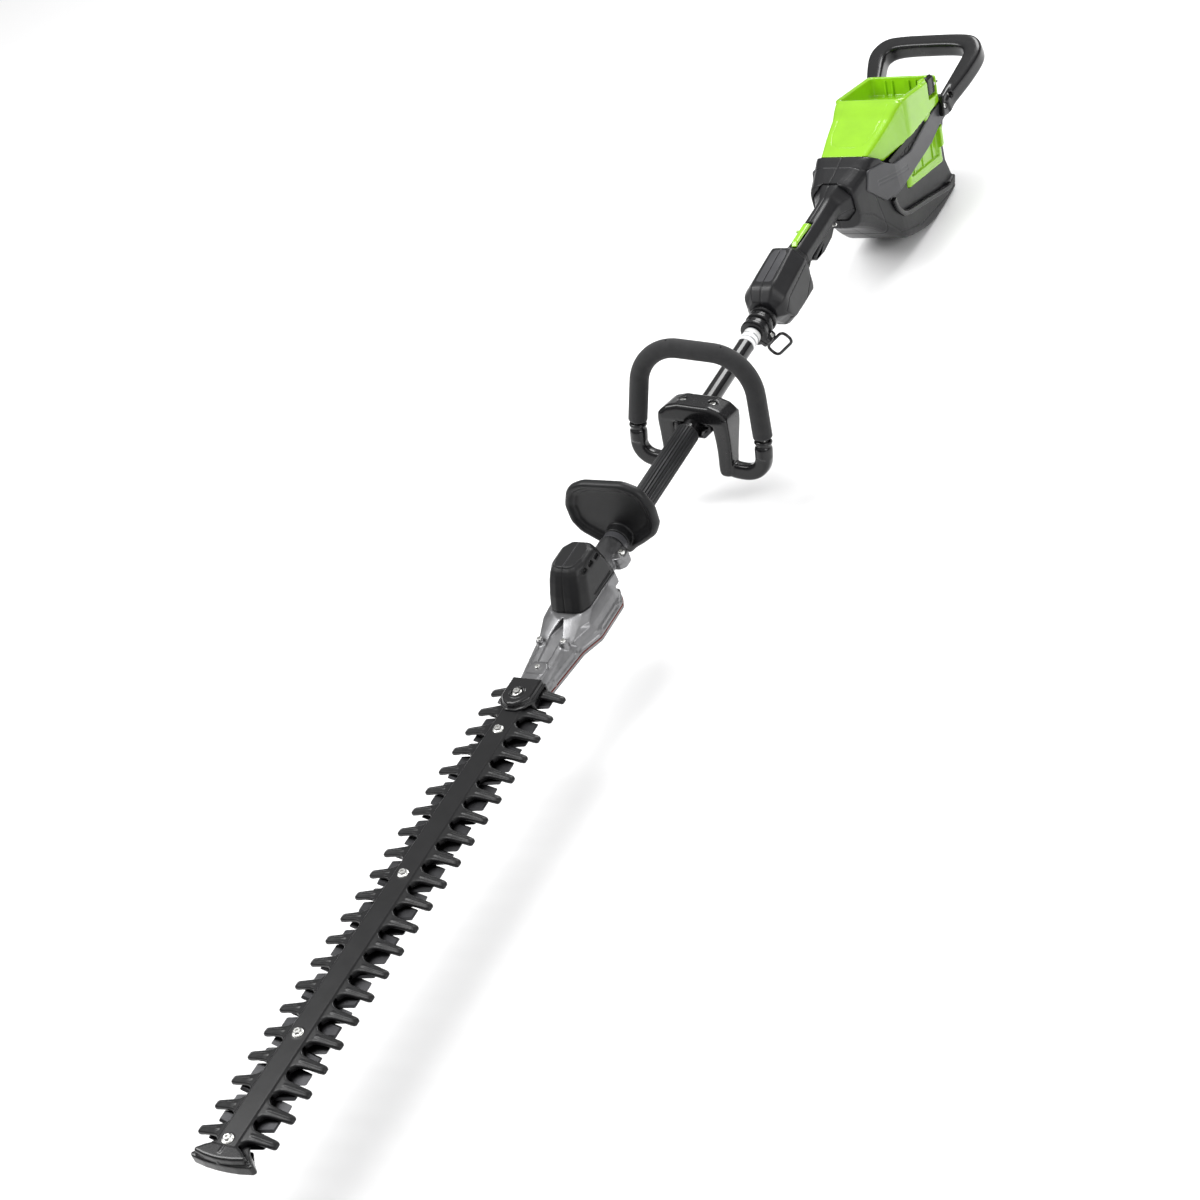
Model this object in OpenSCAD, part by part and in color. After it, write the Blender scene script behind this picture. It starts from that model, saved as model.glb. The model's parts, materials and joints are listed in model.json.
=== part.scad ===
// Battery pole hedge trimmer. The pole runs along X with the blade at +X,
// +Y is the user's left and +Z is up. The origin is the middle of the box
// at its base; each module is drawn on the pole's axis and set by place().

/* [Cutter bar] */
// Distance from one guard finger to the next
finger_pitch = 35; // [34.5:0.5:35.5]
// Guard fingers on each side
finger_count = 21; // [19:1:21]
// Guard comb's half width, to the finger tips
comb_half = 54; // [52:1:56]
// Cutting tooth pitch, in finger pitches
tooth_ratio = 1.275; // [1.26:0.005:1.28]
// Thickness of one blade
blade_t = 2.6; // [2:0.1:2.7]
// How far a cutting tooth reaches from the middle
tooth_reach = 38; // [35:1:39]
// Throw of each crank pin
crank_throw = 11; // [9:0.5:11]

/* [Gearbox and motor] */
// Gear module
gear_module = 1.25; // [1.25:0.05:1.25]
// Teeth on the motor's pinion
pinion_teeth = 11; // [11:1:11]
// Teeth on the drive gear
gear_teeth = 44; // [44:1:44]
// Height of the motor cover above the pole's axis
motor_top = 57.5; // [56:0.5:60]

/* [Pole and front handle] */
// Pole diameter
pole_d = 25; // [25:0.1:25.4]
// Pole wall
pole_wall = 1.6; // [1.2:0.1:2]
// Half width of the loop handle's centre line, where the foam ends
loop_half = 95; // [92:1:97]
// Height of the loop handle's centre line over the pole
loop_top = 97; // [92:1:102]
// Diameter of the foam on the loop handle
foam_d = 27; // [25:0.5:29]
// Lean of the loop handle towards the user
loop_lean = 14; // [8:1:16]
// Turn of the loop handle about the pole
loop_roll = -7; // [-8:1:0]

/* [Rear unit] */
// Length of the battery bay along its rim
bay_l = 131; // [128:1:133]
// Width of the battery bay
bay_w = 118; // [114:1:118]
// Width of the bay below its rim
bay_low_w = 106; // [100:1:106]
// Depth of the battery bay
bay_depth = 138; // [130:1:140]
// Tilt of the battery bay
bay_tilt = 14.5; // [13:0.5:15]
// Wall of the plastic shells
shell_t = 3; // [2.6:0.1:3.2]

/* [Hidden] */
$fn = 48;
gap = 0.4;              // clearance between solids that do not touch
x_back = -1447;         // rearmost point, the bail
x_front = 775;          // foremost point, the tip guard
z_floor = -150;         // underside of the rear housing
module place() translate([-(x_back + x_front) / 2, 0, -z_floor]) children();

pole_r = pole_d / 2;
pole_front = -184;
pole_rear = -800;

// Cutter bar levels
comb_z = -11;
comb_t = 3;
upper_z = -25;
lower_z = upper_z - 0.3 - blade_t;
rail_z = -32;
rail_t = 3.8;
skirt_z = upper_z + blade_t + 0.4;
bar_half = 13.5;
skirt_half = 19;
comb_x0 = 24;
comb_x1 = 762;
stroke = 2 * crank_throw;
tooth_pitch = tooth_ratio * finger_pitch;
tooth_count = 16;
upper_tooth_x = 1.2 * finger_pitch;
lower_tooth_x = upper_tooth_x + tooth_pitch / 2;
bolt_x = [107.5, 352.5, 597.5, 747.5];
nose_bolt_x = 50;
all_bolt_x = concat([nose_bolt_x], bolt_x);
bolt_r = 3;
bush_r = 5;
slot_r = bush_r + gap;

// Gearbox
motor_x = -140;
gear_x = motor_x + gear_module * (pinion_teeth + gear_teeth) / 2;
pin_r = 6;
web_r = crank_throw + pin_r;
case_top = 4;
case_seam = -29;
gasket_t = 0.6;
case_bottom = -34.5;
gear_z = -17;
gear_t = 8;
gear_bearing_r = 11;
motor_bearing_r = 8;
bearing_z = -6;
shaft_r = 4;
stator_r = 21.5;
rotor_r = 11.5;

// Plan outline of the gearbox, one side, from the tube clamp to the blade
case_half = [[-182, 14], [-166, 36], [-152, 44], [-88, 44], [-58, 32], [20, 23]];
function mirrored(half) = concat(half, [for (i = [len(half) - 1:-1:0]) [half[i][0], -half[i][1]]]);

// Rear unit
rim = [-1249, 60.5];    // middle of the bay's rim: x, z
bell_x = -1040;
bell_r = 37;
housing_half = 54;
band_y = 57.5;

// ---------- helpers ----------
module x_cyl(x0, x1, r, y = 0, z = 0)
  translate([x0, y, z]) rotate([0, 90, 0]) cylinder(h = x1 - x0, r = r);
module z_cyl(z0, z1, r, x = 0, y = 0)
  translate([x, y, z0]) cylinder(h = z1 - z0, r = r);
module y_cyl(y0, y1, r, x = 0, z = 0)
  translate([x, y0, z]) rotate([-90, 0, 0]) cylinder(h = y1 - y0, r = r);
// A solid with a side outline in x and z, between two values of y
module side(points, y0, y1)
  translate([0, y1, 0]) rotate([90, 0, 0]) linear_extrude(y1 - y0) polygon(points);
// A solid with a plan outline in x and y, between two values of z
module plan(points, z0, z1)
  translate([0, 0, z0]) linear_extrude(z1 - z0) polygon(points);
// A solid with a front outline in y and z, between two values of x
module front(points, x0, x1)
  translate([x0, 0, 0]) rotate([90, 0, 90]) linear_extrude(x1 - x0) polygon(points);
module block(x0, x1, y0, y1, z0, z1)
  translate([x0, y0, z0]) cube([x1 - x0, y1 - y0, z1 - z0]);
module both_sides() for (s = [0, 1]) mirror([0, s, 0]) children();
module left_half() intersection() { children(); block(-1500, 100, gap / 4, 200, -200, 200); }
module right_half() intersection() { children(); block(-1500, 100, -200, -gap / 4, -200, 200); }

// ---------- pole ----------
module pole_tube() color([0.07, 0.07, 0.08]) place() difference() {
  x_cyl(pole_rear, pole_front, pole_r);
  x_cyl(pole_rear - 1, pole_front + 1, pole_r - pole_wall);
}
// Motor lead: rises off the pole's axis to pass over the trigger
cable_r = 2.6;
cable_z = 8;
module power_cable() color([0.1, 0.1, 0.1]) place() {
  x_cyl(-1062, -168, cable_r, 0, cable_z);
  z_cyl(cable_z, 12, cable_r, -168);
}
module pole_label() color([0.9, 0.9, 0.9]) place() difference() {
  x_cyl(-694, -667, pole_r + 0.3);
  x_cyl(-695, -666, pole_r);
}
// Fluted sleeve between the loop handle and the hand guard
sleeve_x = [-468, -266];
sleeve_r = 16.8;
flutes = 24;
module grip_sleeve() color([0.2, 0.2, 0.21]) place() difference() {
  x_cyl(sleeve_x[0], sleeve_x[1], sleeve_r);
  x_cyl(sleeve_x[0] - 1, sleeve_x[1] + 1, pole_r);
  for (i = [0:flutes - 1]) rotate([i * 360 / flutes, 0, 0])
    translate([sleeve_x[0] - 1, -0.8, sleeve_r - 1])
      cube([sleeve_x[1] - sleeve_x[0] + 2, 1.6, 3]);
}

// ---------- loop handle ----------
loop_x = -506;
loop_rod = 7;
loop_taper = 6.5;
loop_corner = 63;
loop_low = -72;
low_corner = 24;
foam_end = -20;
corner_y = loop_half - (loop_top - foam_end) * tan(loop_taper)
  - loop_corner * tan((90 - loop_taper) / 2);
corner_z = loop_top - loop_corner;
loop_leg = (corner_z + loop_corner * sin(loop_taper) - foam_end) / cos(loop_taper);
// Frame of the loop: its own x is along the pole, y across, z up the loop
module loop_frame() place() translate([loop_x, 0, 0]) rotate([loop_roll, 0, 0])
  rotate([0, -loop_lean, 0]) children();
module arc_tube(cy, cz, rr, a0, a1, r)
  translate([0, cy, cz]) rotate([90, 0, 90]) rotate([0, 0, a0])
    rotate_extrude(angle = a1 - a0) translate([rr, 0]) circle(r);
// The bends are a little slimmer than the straights and run into them
bend_slim = 0.2;
bend_over = 2;
module loop_arch(r, below = 0) {
  both_sides() {
    translate([0, loop_half, foam_end]) rotate([loop_taper, 0, 0]) translate([0, 0, -below])
      cylinder(h = loop_leg + below, r = r);
    arc_tube(corner_y, corner_z, loop_corner, loop_taper - bend_over, 90 + bend_over, r - bend_slim);
  }
  y_cyl(-corner_y, corner_y, r, 0, loop_top);
}
stub = 16;
stub_r = 6.5;
module loop_core() color([0.3, 0.3, 0.3]) loop_frame() {
  loop_arch(loop_rod);
  both_sides() z_cyl(foam_end - stub, foam_end + 3, stub_r, 0, loop_half);
}
module foam_grip() color([0.2, 0.2, 0.21]) loop_frame() difference() {
  loop_arch(foam_d / 2);
  loop_arch(loop_rod, 5);
}
arm_y = [31, 53];
arm_half = 14;
clamp_x = [-22, 24];
block_half = 52;
screw_y = 22.5;
module bracket_arm() {
  // Plastic end below the foam, the lower bend and the arm up to the clamp
  difference() {
    z_cyl(loop_low + low_corner, foam_end - 2, 12, 0, loop_half);
    difference() {
      z_cyl(foam_end - 11, foam_end - 7, 13, 0, loop_half);
      z_cyl(foam_end - 12, foam_end - 6, 10.5, 0, loop_half);
    }
    z_cyl(foam_end - stub, foam_end, stub_r, 0, loop_half);
  }
  arc_tube(loop_half - low_corner, loop_low + low_corner, low_corner, -90, 0, 10);
  y_cyl(arm_y[1] - 8, loop_half - low_corner, 10, 0, loop_low);
  front([[arm_y[0] + 6, loop_low - 7], [arm_y[1] - 4, loop_low - 8], [arm_y[1], loop_low + 9],
    [arm_y[1], 8], [arm_y[0] - 2, 14], [arm_y[0] - 2, -12], [arm_y[0], -20],
    [arm_y[0], loop_low]], -arm_half, arm_half);
}
module loop_bracket() color([0.1, 0.1, 0.11]) loop_frame() difference() {
  union() {
    both_sides() bracket_arm();
    front([[-block_half, 0.5], [block_half, 0.5], [block_half, 10], [40, 20], [24, 25], [-24, 25],
      [-40, 20], [-block_half, 10]], clamp_x[0], clamp_x[1]);
  }
  rotate([0, loop_lean, 0]) x_cyl(-60, 60, pole_r);
  for (s = [-1, 1]) {
    z_cyl(-1, 40, 2.7, 0, s * screw_y);
    z_cyl(17, 40, 6, 0, s * screw_y);
  }
}
module loop_clamp_lower() color([0.1, 0.1, 0.11]) loop_frame() difference() {
  front([[-28.5, -0.5], [28.5, -0.5], [28.5, -12], [18, -23], [-18, -23], [-28.5, -12]],
    clamp_x[0] + 1, clamp_x[1] - 1);
  rotate([0, loop_lean, 0]) x_cyl(-60, 60, pole_r);
  for (s = [-1, 1]) z_cyl(-30, 1, 2.5, 0, s * screw_y);
}
module loop_clamp_screws() color([0.75, 0.75, 0.76]) loop_frame() for (s = [-1, 1]) difference() {
  union() {
    z_cyl(-17, 17, 2.5, 0, s * screw_y);
    z_cyl(17, 21, 4.6, 0, s * screw_y);
  }
  z_cyl(18.5, 22, 2.3, 0, s * screw_y, $fn = 6);
}

// ---------- hand guard ----------
guard_x = -260;
guard_half = [[56, 78], [67, 49], [66, 21], [57, 7], [36, -8], [21, -18], [10, -27]];
guard_side = concat([[32, 88]], guard_half);
guard_outline = concat(guard_side, [for (i = [len(guard_side) - 1:-1:0])
  [-guard_side[i][0], guard_side[i][1]]]);
module hand_guard() color([0.16, 0.16, 0.17]) place() difference() {
  union() {
    front(guard_outline, guard_x, guard_x + 14);
    x_cyl(guard_x - 3, guard_x + 20, 18);
  }
  // The dish that faces the blade leaves a raised rim
  difference() {
    translate([0, 0, 4]) front([for (p = guard_outline) [p[0] * 0.84, p[1] * 0.84]],
      guard_x + 3.5, guard_x + 18);
    x_cyl(guard_x, guard_x + 20, 18);
  }
  x_cyl(guard_x - 5, guard_x + 25, pole_r);
}
module guard_collar() color([0.25, 0.25, 0.26]) place() difference() {
  x_cyl(guard_x + 20, -230, 17);
  x_cyl(guard_x, -220, pole_r);
}

// ---------- harness collar ----------
collar_x = [-736, -696];
ear_y = 27;
ear_screw = [-708.5, 21.7];
module harness_collar() color([0.12, 0.12, 0.13]) place() difference() {
  union() {
    x_cyl(collar_x[0], collar_x[1], 17.5);
    for (x = [collar_x[0], collar_x[0] + 15, collar_x[1] - 8]) x_cyl(x, x + 8, 20.5);
    rotate([-50, 0, 0]) block(collar_x[0] + 16, collar_x[1] - 1, 12, ear_y, -8, 8);
  }
  x_cyl(collar_x[0] - 1, collar_x[1] + 1, pole_r);
  rotate([-50, 0, 0]) {
    block(collar_x[0] - 1, collar_x[1] + 1, 10, 30, -0.8, 0.8);
    z_cyl(-10, 10, 2, ear_screw[0], ear_screw[1]);
  }
}
module harness_screw() color([0.7, 0.7, 0.71]) place() rotate([-50, 0, 0]) {
  z_cyl(-8, 8, 2, ear_screw[0], ear_screw[1]);
  z_cyl(8, 10.5, 3.3, ear_screw[0], ear_screw[1]);
}
// Flat D ring on a tongue that the collar's ears pinch
ring_x = -715;
ring_len = 46;
ring_wid = 25;
ring_t = 4.5;
module stadium(l, w) {
  translate([0, l / 2 - w / 2]) circle(w / 2);
  translate([0, -l / 2 + w / 2]) circle(w / 2);
  square([w, l - w], center = true);
}
module harness_ring() color([0.12, 0.12, 0.13]) place() translate([ring_x, 0, 0])
  rotate([-50, 0, 0]) {
    translate([-ring_t / 2, ear_y + ring_wid / 2, 0]) rotate([90, 0, 90])
      linear_extrude(ring_t) difference() {
        stadium(ring_len, ring_wid);
        stadium(ring_len - 9, ring_wid - 9);
      }
    block(-ring_t / 2, ring_t / 2, 18, ear_y + 2, -0.7, 0.7);
  }

// ---------- gearbox ----------
module case_plan(inset, z0, z1)
  plan(mirrored([for (p = case_half) [p[0] + (p[0] < -120 ? inset : 0) - (p[0] > 0 ? inset : 0),
    p[1] - inset]]), z0, z1);
// The case's shoulders, inset by a wall's thickness
module case_front(wall) front([[-44 + wall, case_seam - 2], [-43 + wall, -20], [-33 + wall, -8],
  [-29 + wall, case_top], [29 - wall, case_top], [33 - wall, -8], [43 - wall, -20],
  [44 - wall, case_seam - 2]], -200, 100);
screw_spots = [[-168, 29], [-145, 39.5], [-95, 39.5], [-48, 26.5], [6, 20.5]];
module gearbox_case() color([0.62, 0.62, 0.63]) place() difference() {
  union() {
    // Sloping upper walls and the flange round the seam
    intersection() {
      case_plan(1.5, case_seam, case_top);
      case_front(0);
      side([[-190, case_seam], [-190, 4], [-86, 4], [-60, -6], [20, -12], [20, case_seam]], -50, 50);
    }
    case_plan(0, case_seam, case_seam + 5);
    // Tongue under the nose cap, over the guard comb
    block(-30, 62, -12, 12, comb_z + 0.2, comb_z + 5);
    // Split socket for the pole
    x_cyl(-228, -170, 18.5);
    block(-224, -196, 12, 31, -12, 6);
    // Bosses round the bearings
    z_cyl(-7, 2, gear_bearing_r + 3, gear_x);
  }
  x_cyl(-229, pole_front, pole_r);
  x_cyl(pole_front - 1, -164, cable_r + gap, 0, cable_z);
  block(-229, -190, 10, 40, -3.6, -2);
  z_cyl(-30, 20, 2.6, -210, 25);
  // Gear and crank chamber
  difference() {
    intersection() {
      case_plan(5.5, case_seam - 1, -8.5);
      case_front(4);
    }
    z_cyl(-9, -7, gear_bearing_r + 3, gear_x);
    block(-60, 30, -50, 50, -21.5, 0);
  }
  block(-62, 30, -17, 17, case_seam - 1, -21.5);
  // Bearing seats
  z_cyl(bearing_z - 5, bearing_z + 7, gear_bearing_r, gear_x);
  z_cyl(-20, bearing_z + 5, motor_bearing_r, motor_x);
  z_cyl(-20, 10, 5, motor_x);
  z_cyl(-20, 3, 5, gear_x);
  // Screw holes from below, the motor's lead and the nose bolt
  for (p = screw_spots) both_sides() z_cyl(case_seam - 1, case_seam + 10, 2, p[0], p[1]);
  z_cyl(cable_z - 4, 30, 4, -168);
  z_cyl(-30, 10, bolt_r, nose_bolt_x);
}
module gearbox_gasket() color([0.45, 0.12, 0.1]) place() difference() {
  case_plan(0.2, case_seam - gasket_t, case_seam);
  case_plan(5.5, case_seam - 2, case_seam + 1);
  for (p = screw_spots) both_sides() z_cyl(case_seam - 2, case_seam + 1, 2.2, p[0], p[1]);
}
module gearbox_cover() color([0.6, 0.6, 0.61]) place() difference() {
  case_plan(0, case_bottom, case_seam - gasket_t);
  for (p = screw_spots) both_sides() z_cyl(case_bottom - 1, case_seam, 2, p[0], p[1]);
  for (p = screw_spots) both_sides() z_cyl(case_bottom - 1, case_bottom + 1.5, 3.6, p[0], p[1]);
}
module cover_screws() color([0.75, 0.75, 0.76]) place() for (p = screw_spots) both_sides()
  difference() {
    union() {
      z_cyl(case_bottom + 1, case_seam + 8, 2, p[0], p[1]);
      z_cyl(case_bottom - 1, case_bottom + 1.5, 3.4, p[0], p[1]);
    }
    z_cyl(case_bottom - 2, case_bottom, 1.7, p[0], p[1], $fn = 6);
  }
module tube_clamp_screw() color([0.75, 0.75, 0.76]) place() difference() {
  union() {
    z_cyl(-15, 6, 2.6, -210, 25);
    z_cyl(6, 10.5, 4.4, -210, 25);
    z_cyl(-16, -12, 4.4, -210, 25, $fn = 6);
  }
  z_cyl(8, 11, 2, -210, 25, $fn = 6);
}

// ---------- motor ----------
// Tapered hood in two halves, over the motor
cover_x0 = -187;
cover_x1 = -91;
cover_half = 29;
module cover_solid(inset, z0) intersection() {
  side([[cover_x0 + inset, z0], [-170 + inset, motor_top - inset],
    [-112 - inset, motor_top - inset], [-104 - inset, motor_top - 14],
    [cover_x1 - inset, z0]], -60, 60);
  front([[-cover_half + inset, z0], [-26 + inset, motor_top - 8], [-20 + inset, motor_top - inset],
    [20 - inset, motor_top - inset], [26 - inset, motor_top - 8], [cover_half - inset, z0]],
    cover_x0, cover_x1);
  plan(mirrored([[cover_x0 + inset, 20 - inset], [cover_x0 + 12 + inset, cover_half - inset],
    [cover_x1 - 20 - inset, cover_half - inset], [cover_x1 - inset, 15 - inset]]), z0, 80);
}
module motor_cover() difference() {
  cover_solid(0, case_top + 0.1);
  cover_solid(2.4, case_top - 5);
  x_cyl(-240, -165, 18.9);
  for (i = [0:2], s = [-1, 1])
    translate([-160 + 15 * i, s * 28, motor_top - 17]) cube([11, 20, 4.5], center = true);
  for (x = [-150, -122]) y_cyl(-60, 60, 1.5, x, 12);
}
module motor_cover_left() color([0.15, 0.15, 0.16]) place() left_half() motor_cover();
module motor_cover_right() color([0.15, 0.15, 0.16]) place() right_half() motor_cover();
module motor_can() color([0.5, 0.5, 0.52]) place() difference() {
  z_cyl(case_top + 0.1, 43, stator_r + 1, motor_x);
  z_cyl(case_top + 2, 40.5, stator_r, motor_x);
  z_cyl(case_top - 1, case_top + 3, 9, motor_x);
  z_cyl(40, 44, 6, motor_x);
  for (a = [0:60:300]) translate([motor_x, 0, 0]) rotate([0, 0, a])
    translate([15, 0, 38]) cylinder(h = 6, r = 4);
}
stator_poles = 12;
module motor_stator() color([0.6, 0.35, 0.15]) place() translate([motor_x, 0, 9]) difference() {
  cylinder(h = 28, r = stator_r - 0.1);
  translate([0, 0, -1]) cylinder(h = 30, r = rotor_r + 0.5);
  for (i = [0:stator_poles - 1]) rotate([0, 0, i * 360 / stator_poles])
    translate([15.5, 0, -1]) cylinder(h = 30, r = 1.8);
}
module motor_rotor() color([0.35, 0.35, 0.37]) place() difference() {
  z_cyl(11, 35, rotor_r, motor_x);
  z_cyl(10, 36, 3, motor_x);
}
fan_blades = 9;
module cooling_fan() color([0.1, 0.1, 0.1]) place() translate([motor_x, 0, 45]) difference() {
  union() {
    cylinder(h = 1.6, r = 16);
    cylinder(h = 6, r = 5.5);
    for (i = [0:fan_blades - 1]) rotate([0, 0, i * 360 / fan_blades])
      translate([5, -0.6, 1.5]) cube([10.5, 1.2, 4.5]);
  }
  translate([0, 0, -1]) cylinder(h = 9, r = 3);
}
function gear_outline(n, m) = [for (i = [0:n - 1], k = [0:3])
  let (a = (i + [-0.27, -0.13, 0.13, 0.27][k]) * 360 / n,
       r = n * m / 2 + ([-1.2, 0.92, 0.92, -1.2][k]) * m)
  [r * cos(a), r * sin(a)]];
module motor_shaft() color([0.7, 0.7, 0.72]) place() translate([motor_x, 0, 0]) {
  z_cyl(gear_z + gear_t + 0.3, 51.5, 3);
  translate([0, 0, gear_z + 0.3]) rotate([0, 0, 180 / pinion_teeth])
    linear_extrude(gear_t) polygon(gear_outline(pinion_teeth, gear_module));
}
module ring(x, z, h, r, bore) difference() {
  z_cyl(z, z + h, r, x);
  z_cyl(z - 1, z + h + 1, bore, x);
}
module motor_bearings() color([0.7, 0.7, 0.72]) place() {
  ring(motor_x, bearing_z + 0.2, 4.8, motor_bearing_r - 0.01, 3.03);
  ring(motor_x, 40.6, 2.3, 5.98, 3.03);
}
module drive_gear() color([0.45, 0.45, 0.47]) place() translate([gear_x, 0, gear_z]) difference() {
  linear_extrude(gear_t) polygon(gear_outline(gear_teeth, gear_module));
  translate([0, 0, -1]) cylinder(h = 12, r = shaft_r);
  for (a = [0:60:300]) rotate([0, 0, a]) translate([16, 0, -1]) cylinder(h = 12, r = 4);
}
// Two crank pins half a turn apart, on one shaft
module crankshaft() color([0.55, 0.55, 0.57]) place() translate([gear_x, 0, 0]) {
  z_cyl(gear_z, 0.5, shaft_r);
  z_cyl(-21.2, gear_z, web_r - 1);
  z_cyl(upper_z, -21.2, pin_r, -crank_throw);
  z_cyl(upper_z - 0.3, upper_z, web_r - 1);
  z_cyl(lower_z, upper_z - 0.3, pin_r, crank_throw);
  z_cyl(lower_z - 0.5, lower_z, web_r - 1);
}
module gear_bearings() color([0.7, 0.7, 0.72]) place()
  ring(gear_x, bearing_z, 6.8, gear_bearing_r - 0.01, shaft_r + 0.03);

// ---------- cutter bar ----------
shank_half = 12;
blade_end = 752;
yoke_l = 2 * web_r + stroke;
// A pair of teeth, from one edge of the blade to the other
module tooth(x, reach) plan(mirrored([[x - 15, 8], [x - 13, 14], [x - 7, reach - 3], [x - 4, reach],
  [x + 4, reach], [x + 7, reach - 3], [x + 13, 14], [x + 15, 8]]), 0, blade_t);
// One blade, with its teeth from first_x, its crank opening from yoke_x and its slots from slot_x
module blade(z, first_x, yoke_x, slot_x) translate([0, 0, z]) difference() {
  union() {
    block(yoke_x - 6, yoke_x + yoke_l + 6, -web_r - 7, web_r + 7, 0, blade_t);
    block(gear_x, blade_end - stroke, -shank_half, shank_half, 0, blade_t);
    for (i = [0:tooth_count - 1]) tooth(first_x + i * tooth_pitch, tooth_reach);
  }
  block(yoke_x, yoke_x + yoke_l, -web_r - 0.6, web_r + 0.6, -1, blade_t + 1);
  for (x = all_bolt_x)
    block(x + slot_x - slot_r, x + slot_x + stroke + slot_r, -slot_r, slot_r, -1, blade_t + 1);
}
module upper_blade() color([0.2, 0.2, 0.21]) place()
  blade(upper_z, upper_tooth_x, gear_x - web_r - stroke, -stroke);
module lower_blade() color([0.2, 0.2, 0.21]) place()
  blade(lower_z, lower_tooth_x, gear_x - web_r, 0);
finger_root = skirt_half - 2;
// Side outline of a finger in y and z: it droops towards its tip
finger_outline = [[bar_half - 1, comb_z], [comb_half - 3, -20.2], [comb_half, -22.5],
  [comb_half - 1, -25.5], [comb_half - 5, -26], [tooth_reach + 1, -21.9],
  [finger_root, -17], [bar_half - 1, -15]];
module guard_comb() color([0.16, 0.16, 0.17]) place() difference() {
  union() {
    block(comb_x0, comb_x1, -bar_half, bar_half, comb_z - comb_t, comb_z);
    both_sides() {
      front([[bar_half - 1, comb_z], [skirt_half, comb_z - 3], [skirt_half, skirt_z],
        [skirt_half - 3, skirt_z], [skirt_half - 3, comb_z - comb_t - 1],
        [bar_half - 1, comb_z - comb_t]], comb_x0, comb_x1);
      for (i = [1:finger_count]) {
        front(finger_outline, i * finger_pitch - 5.5, i * finger_pitch + 5.5);
        plan([[i * finger_pitch - 11, bar_half], [i * finger_pitch - 5, skirt_half + 8],
          [i * finger_pitch + 5, skirt_half + 8], [i * finger_pitch + 11, bar_half]],
          -18, -14.6);
      }
    }
  }
  for (x = all_bolt_x) z_cyl(-40, 0, bolt_r, x);
}
module bottom_rail() color([0.3, 0.3, 0.31]) place() difference() {
  block(comb_x0, comb_x1 - 2, -11, 11, rail_z, rail_z + rail_t);
  for (x = all_bolt_x) z_cyl(-40, 0, bolt_r, x);
}
module blade_bushes() color([0.6, 0.6, 0.6]) place() for (x = all_bolt_x) difference() {
  z_cyl(rail_z + rail_t, comb_z - comb_t, bush_r, x);
  z_cyl(-40, 0, bolt_r, x);
}
module bolt_head(x, z, h) {
  translate([x, 0, z]) cylinder(h = h, r = 4.8, $fn = 6);
}
module blade_bolts() color([0.8, 0.8, 0.8]) place() {
  for (x = bolt_x) {
    z_cyl(rail_z - 6, comb_z + 1.2, bolt_r, x);
    bolt_head(x, comb_z + 1.2, 4);
  }
  z_cyl(rail_z - 6, 0.4, bolt_r, nose_bolt_x);
  bolt_head(nose_bolt_x, 0.4, 3.6);
}
module blade_washers() color([0.78, 0.78, 0.78]) place() for (x = bolt_x) difference() {
  z_cyl(comb_z, comb_z + 1.2, 7, x);
  z_cyl(-20, 0, bolt_r, x);
}
module blade_nuts() color([0.78, 0.78, 0.78]) place() for (x = all_bolt_x) difference() {
  translate([x, 0, rail_z - 5]) cylinder(h = 5, r = 5.8, $fn = 6);
  z_cyl(-40, 0, bolt_r, x);
}
module nose_cap() color([0.12, 0.12, 0.13]) place() difference() {
  union() {
    plan(mirrored([[22, 25], [58, 25], [68, 18], [75, 8]]), skirt_z, -8);
    plan(mirrored([[22, 20], [56, 20], [66, 13], [72, 5]]), -8, -2);
    z_cyl(-3, 1.4, 9.5, nose_bolt_x);
  }
  // Room for the case's tongue, the comb and its first fingers
  block(10, 63, -13, 13, -30, -5.4);
  block(10, 80, -skirt_half - gap, skirt_half + gap, -30, comb_z + gap);
  block(finger_pitch - 12, finger_pitch + 12, -40, 40, -30, -10);
  block(2 * finger_pitch - 12, 90, -40, 40, -30, -10);
  z_cyl(-20, 10, bolt_r, nose_bolt_x);
  z_cyl(0.4, 10, 7, nose_bolt_x);
}
module tip_guard() color([0.1, 0.1, 0.11]) place() difference() {
  union() {
    plan(mirrored([[745, 24], [757, 33], [768, 43], [771, 40], [774, 22], [775, 6]]), -33, -19);
    plan(mirrored([[745, 21], [764, 24], [772, 12]]), -19, -15);
    block(749, 775, -1.5, 1.5, -34, -12.5);
  }
  block(700, comb_x1 + 0.5, -20, 20, -40, comb_z + 1);
  block(700, 756, -tooth_reach - 2, tooth_reach + 2, lower_z - 1, upper_z + blade_t + 1);
}

// ---------- rear grip ----------
grip_side = [[-736, 24], [-752, 42], [-836, 50], [-852, 33], [-940, 33], [-1006, 41],
  [-1040, 39], [-1040, -34], [-1016, -24], [-985, -4], [-885, -4], [-836, -36],
  [-770, -36], [-744, -14]];
grip_plan = mirrored([[-736, 20], [-748, 33], [-832, 31], [-862, 18], [-985, 18],
  [-1024, 35], [-1040, 35]]);
module grip_body() difference() {
  intersection() {
    side(grip_side, -60, 60);
    plan(grip_plan, -60, 60);
  }
  // Socket for the pole, the lead's channel and the switch chamber
  x_cyl(pole_rear, -700, pole_r);
  x_cyl(-1060, pole_rear + 1, cable_r + gap, 0, cable_z);
  side([[-812, -28], [-880, -12], [-985, -12], [-985, 5], [-812, 5]], -12, 12);
  // Slot of the lock-off lever
  block(-927, -862, -5.5, 5.5, 10, 60);
  y_cyl(-14, 14, 2, lever_pin[0], lever_pin[1]);
  y_cyl(-15.5, 15.5, 2, trigger_pin[0], trigger_pin[1]);
}
module grip_shell_left() color([0.14, 0.14, 0.15]) place() left_half() grip_body();
module grip_shell_right() color([0.14, 0.14, 0.15]) place() right_half() grip_body();
trigger_pin = [-972, -2];
lever_pin = [-918, 22];
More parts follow.
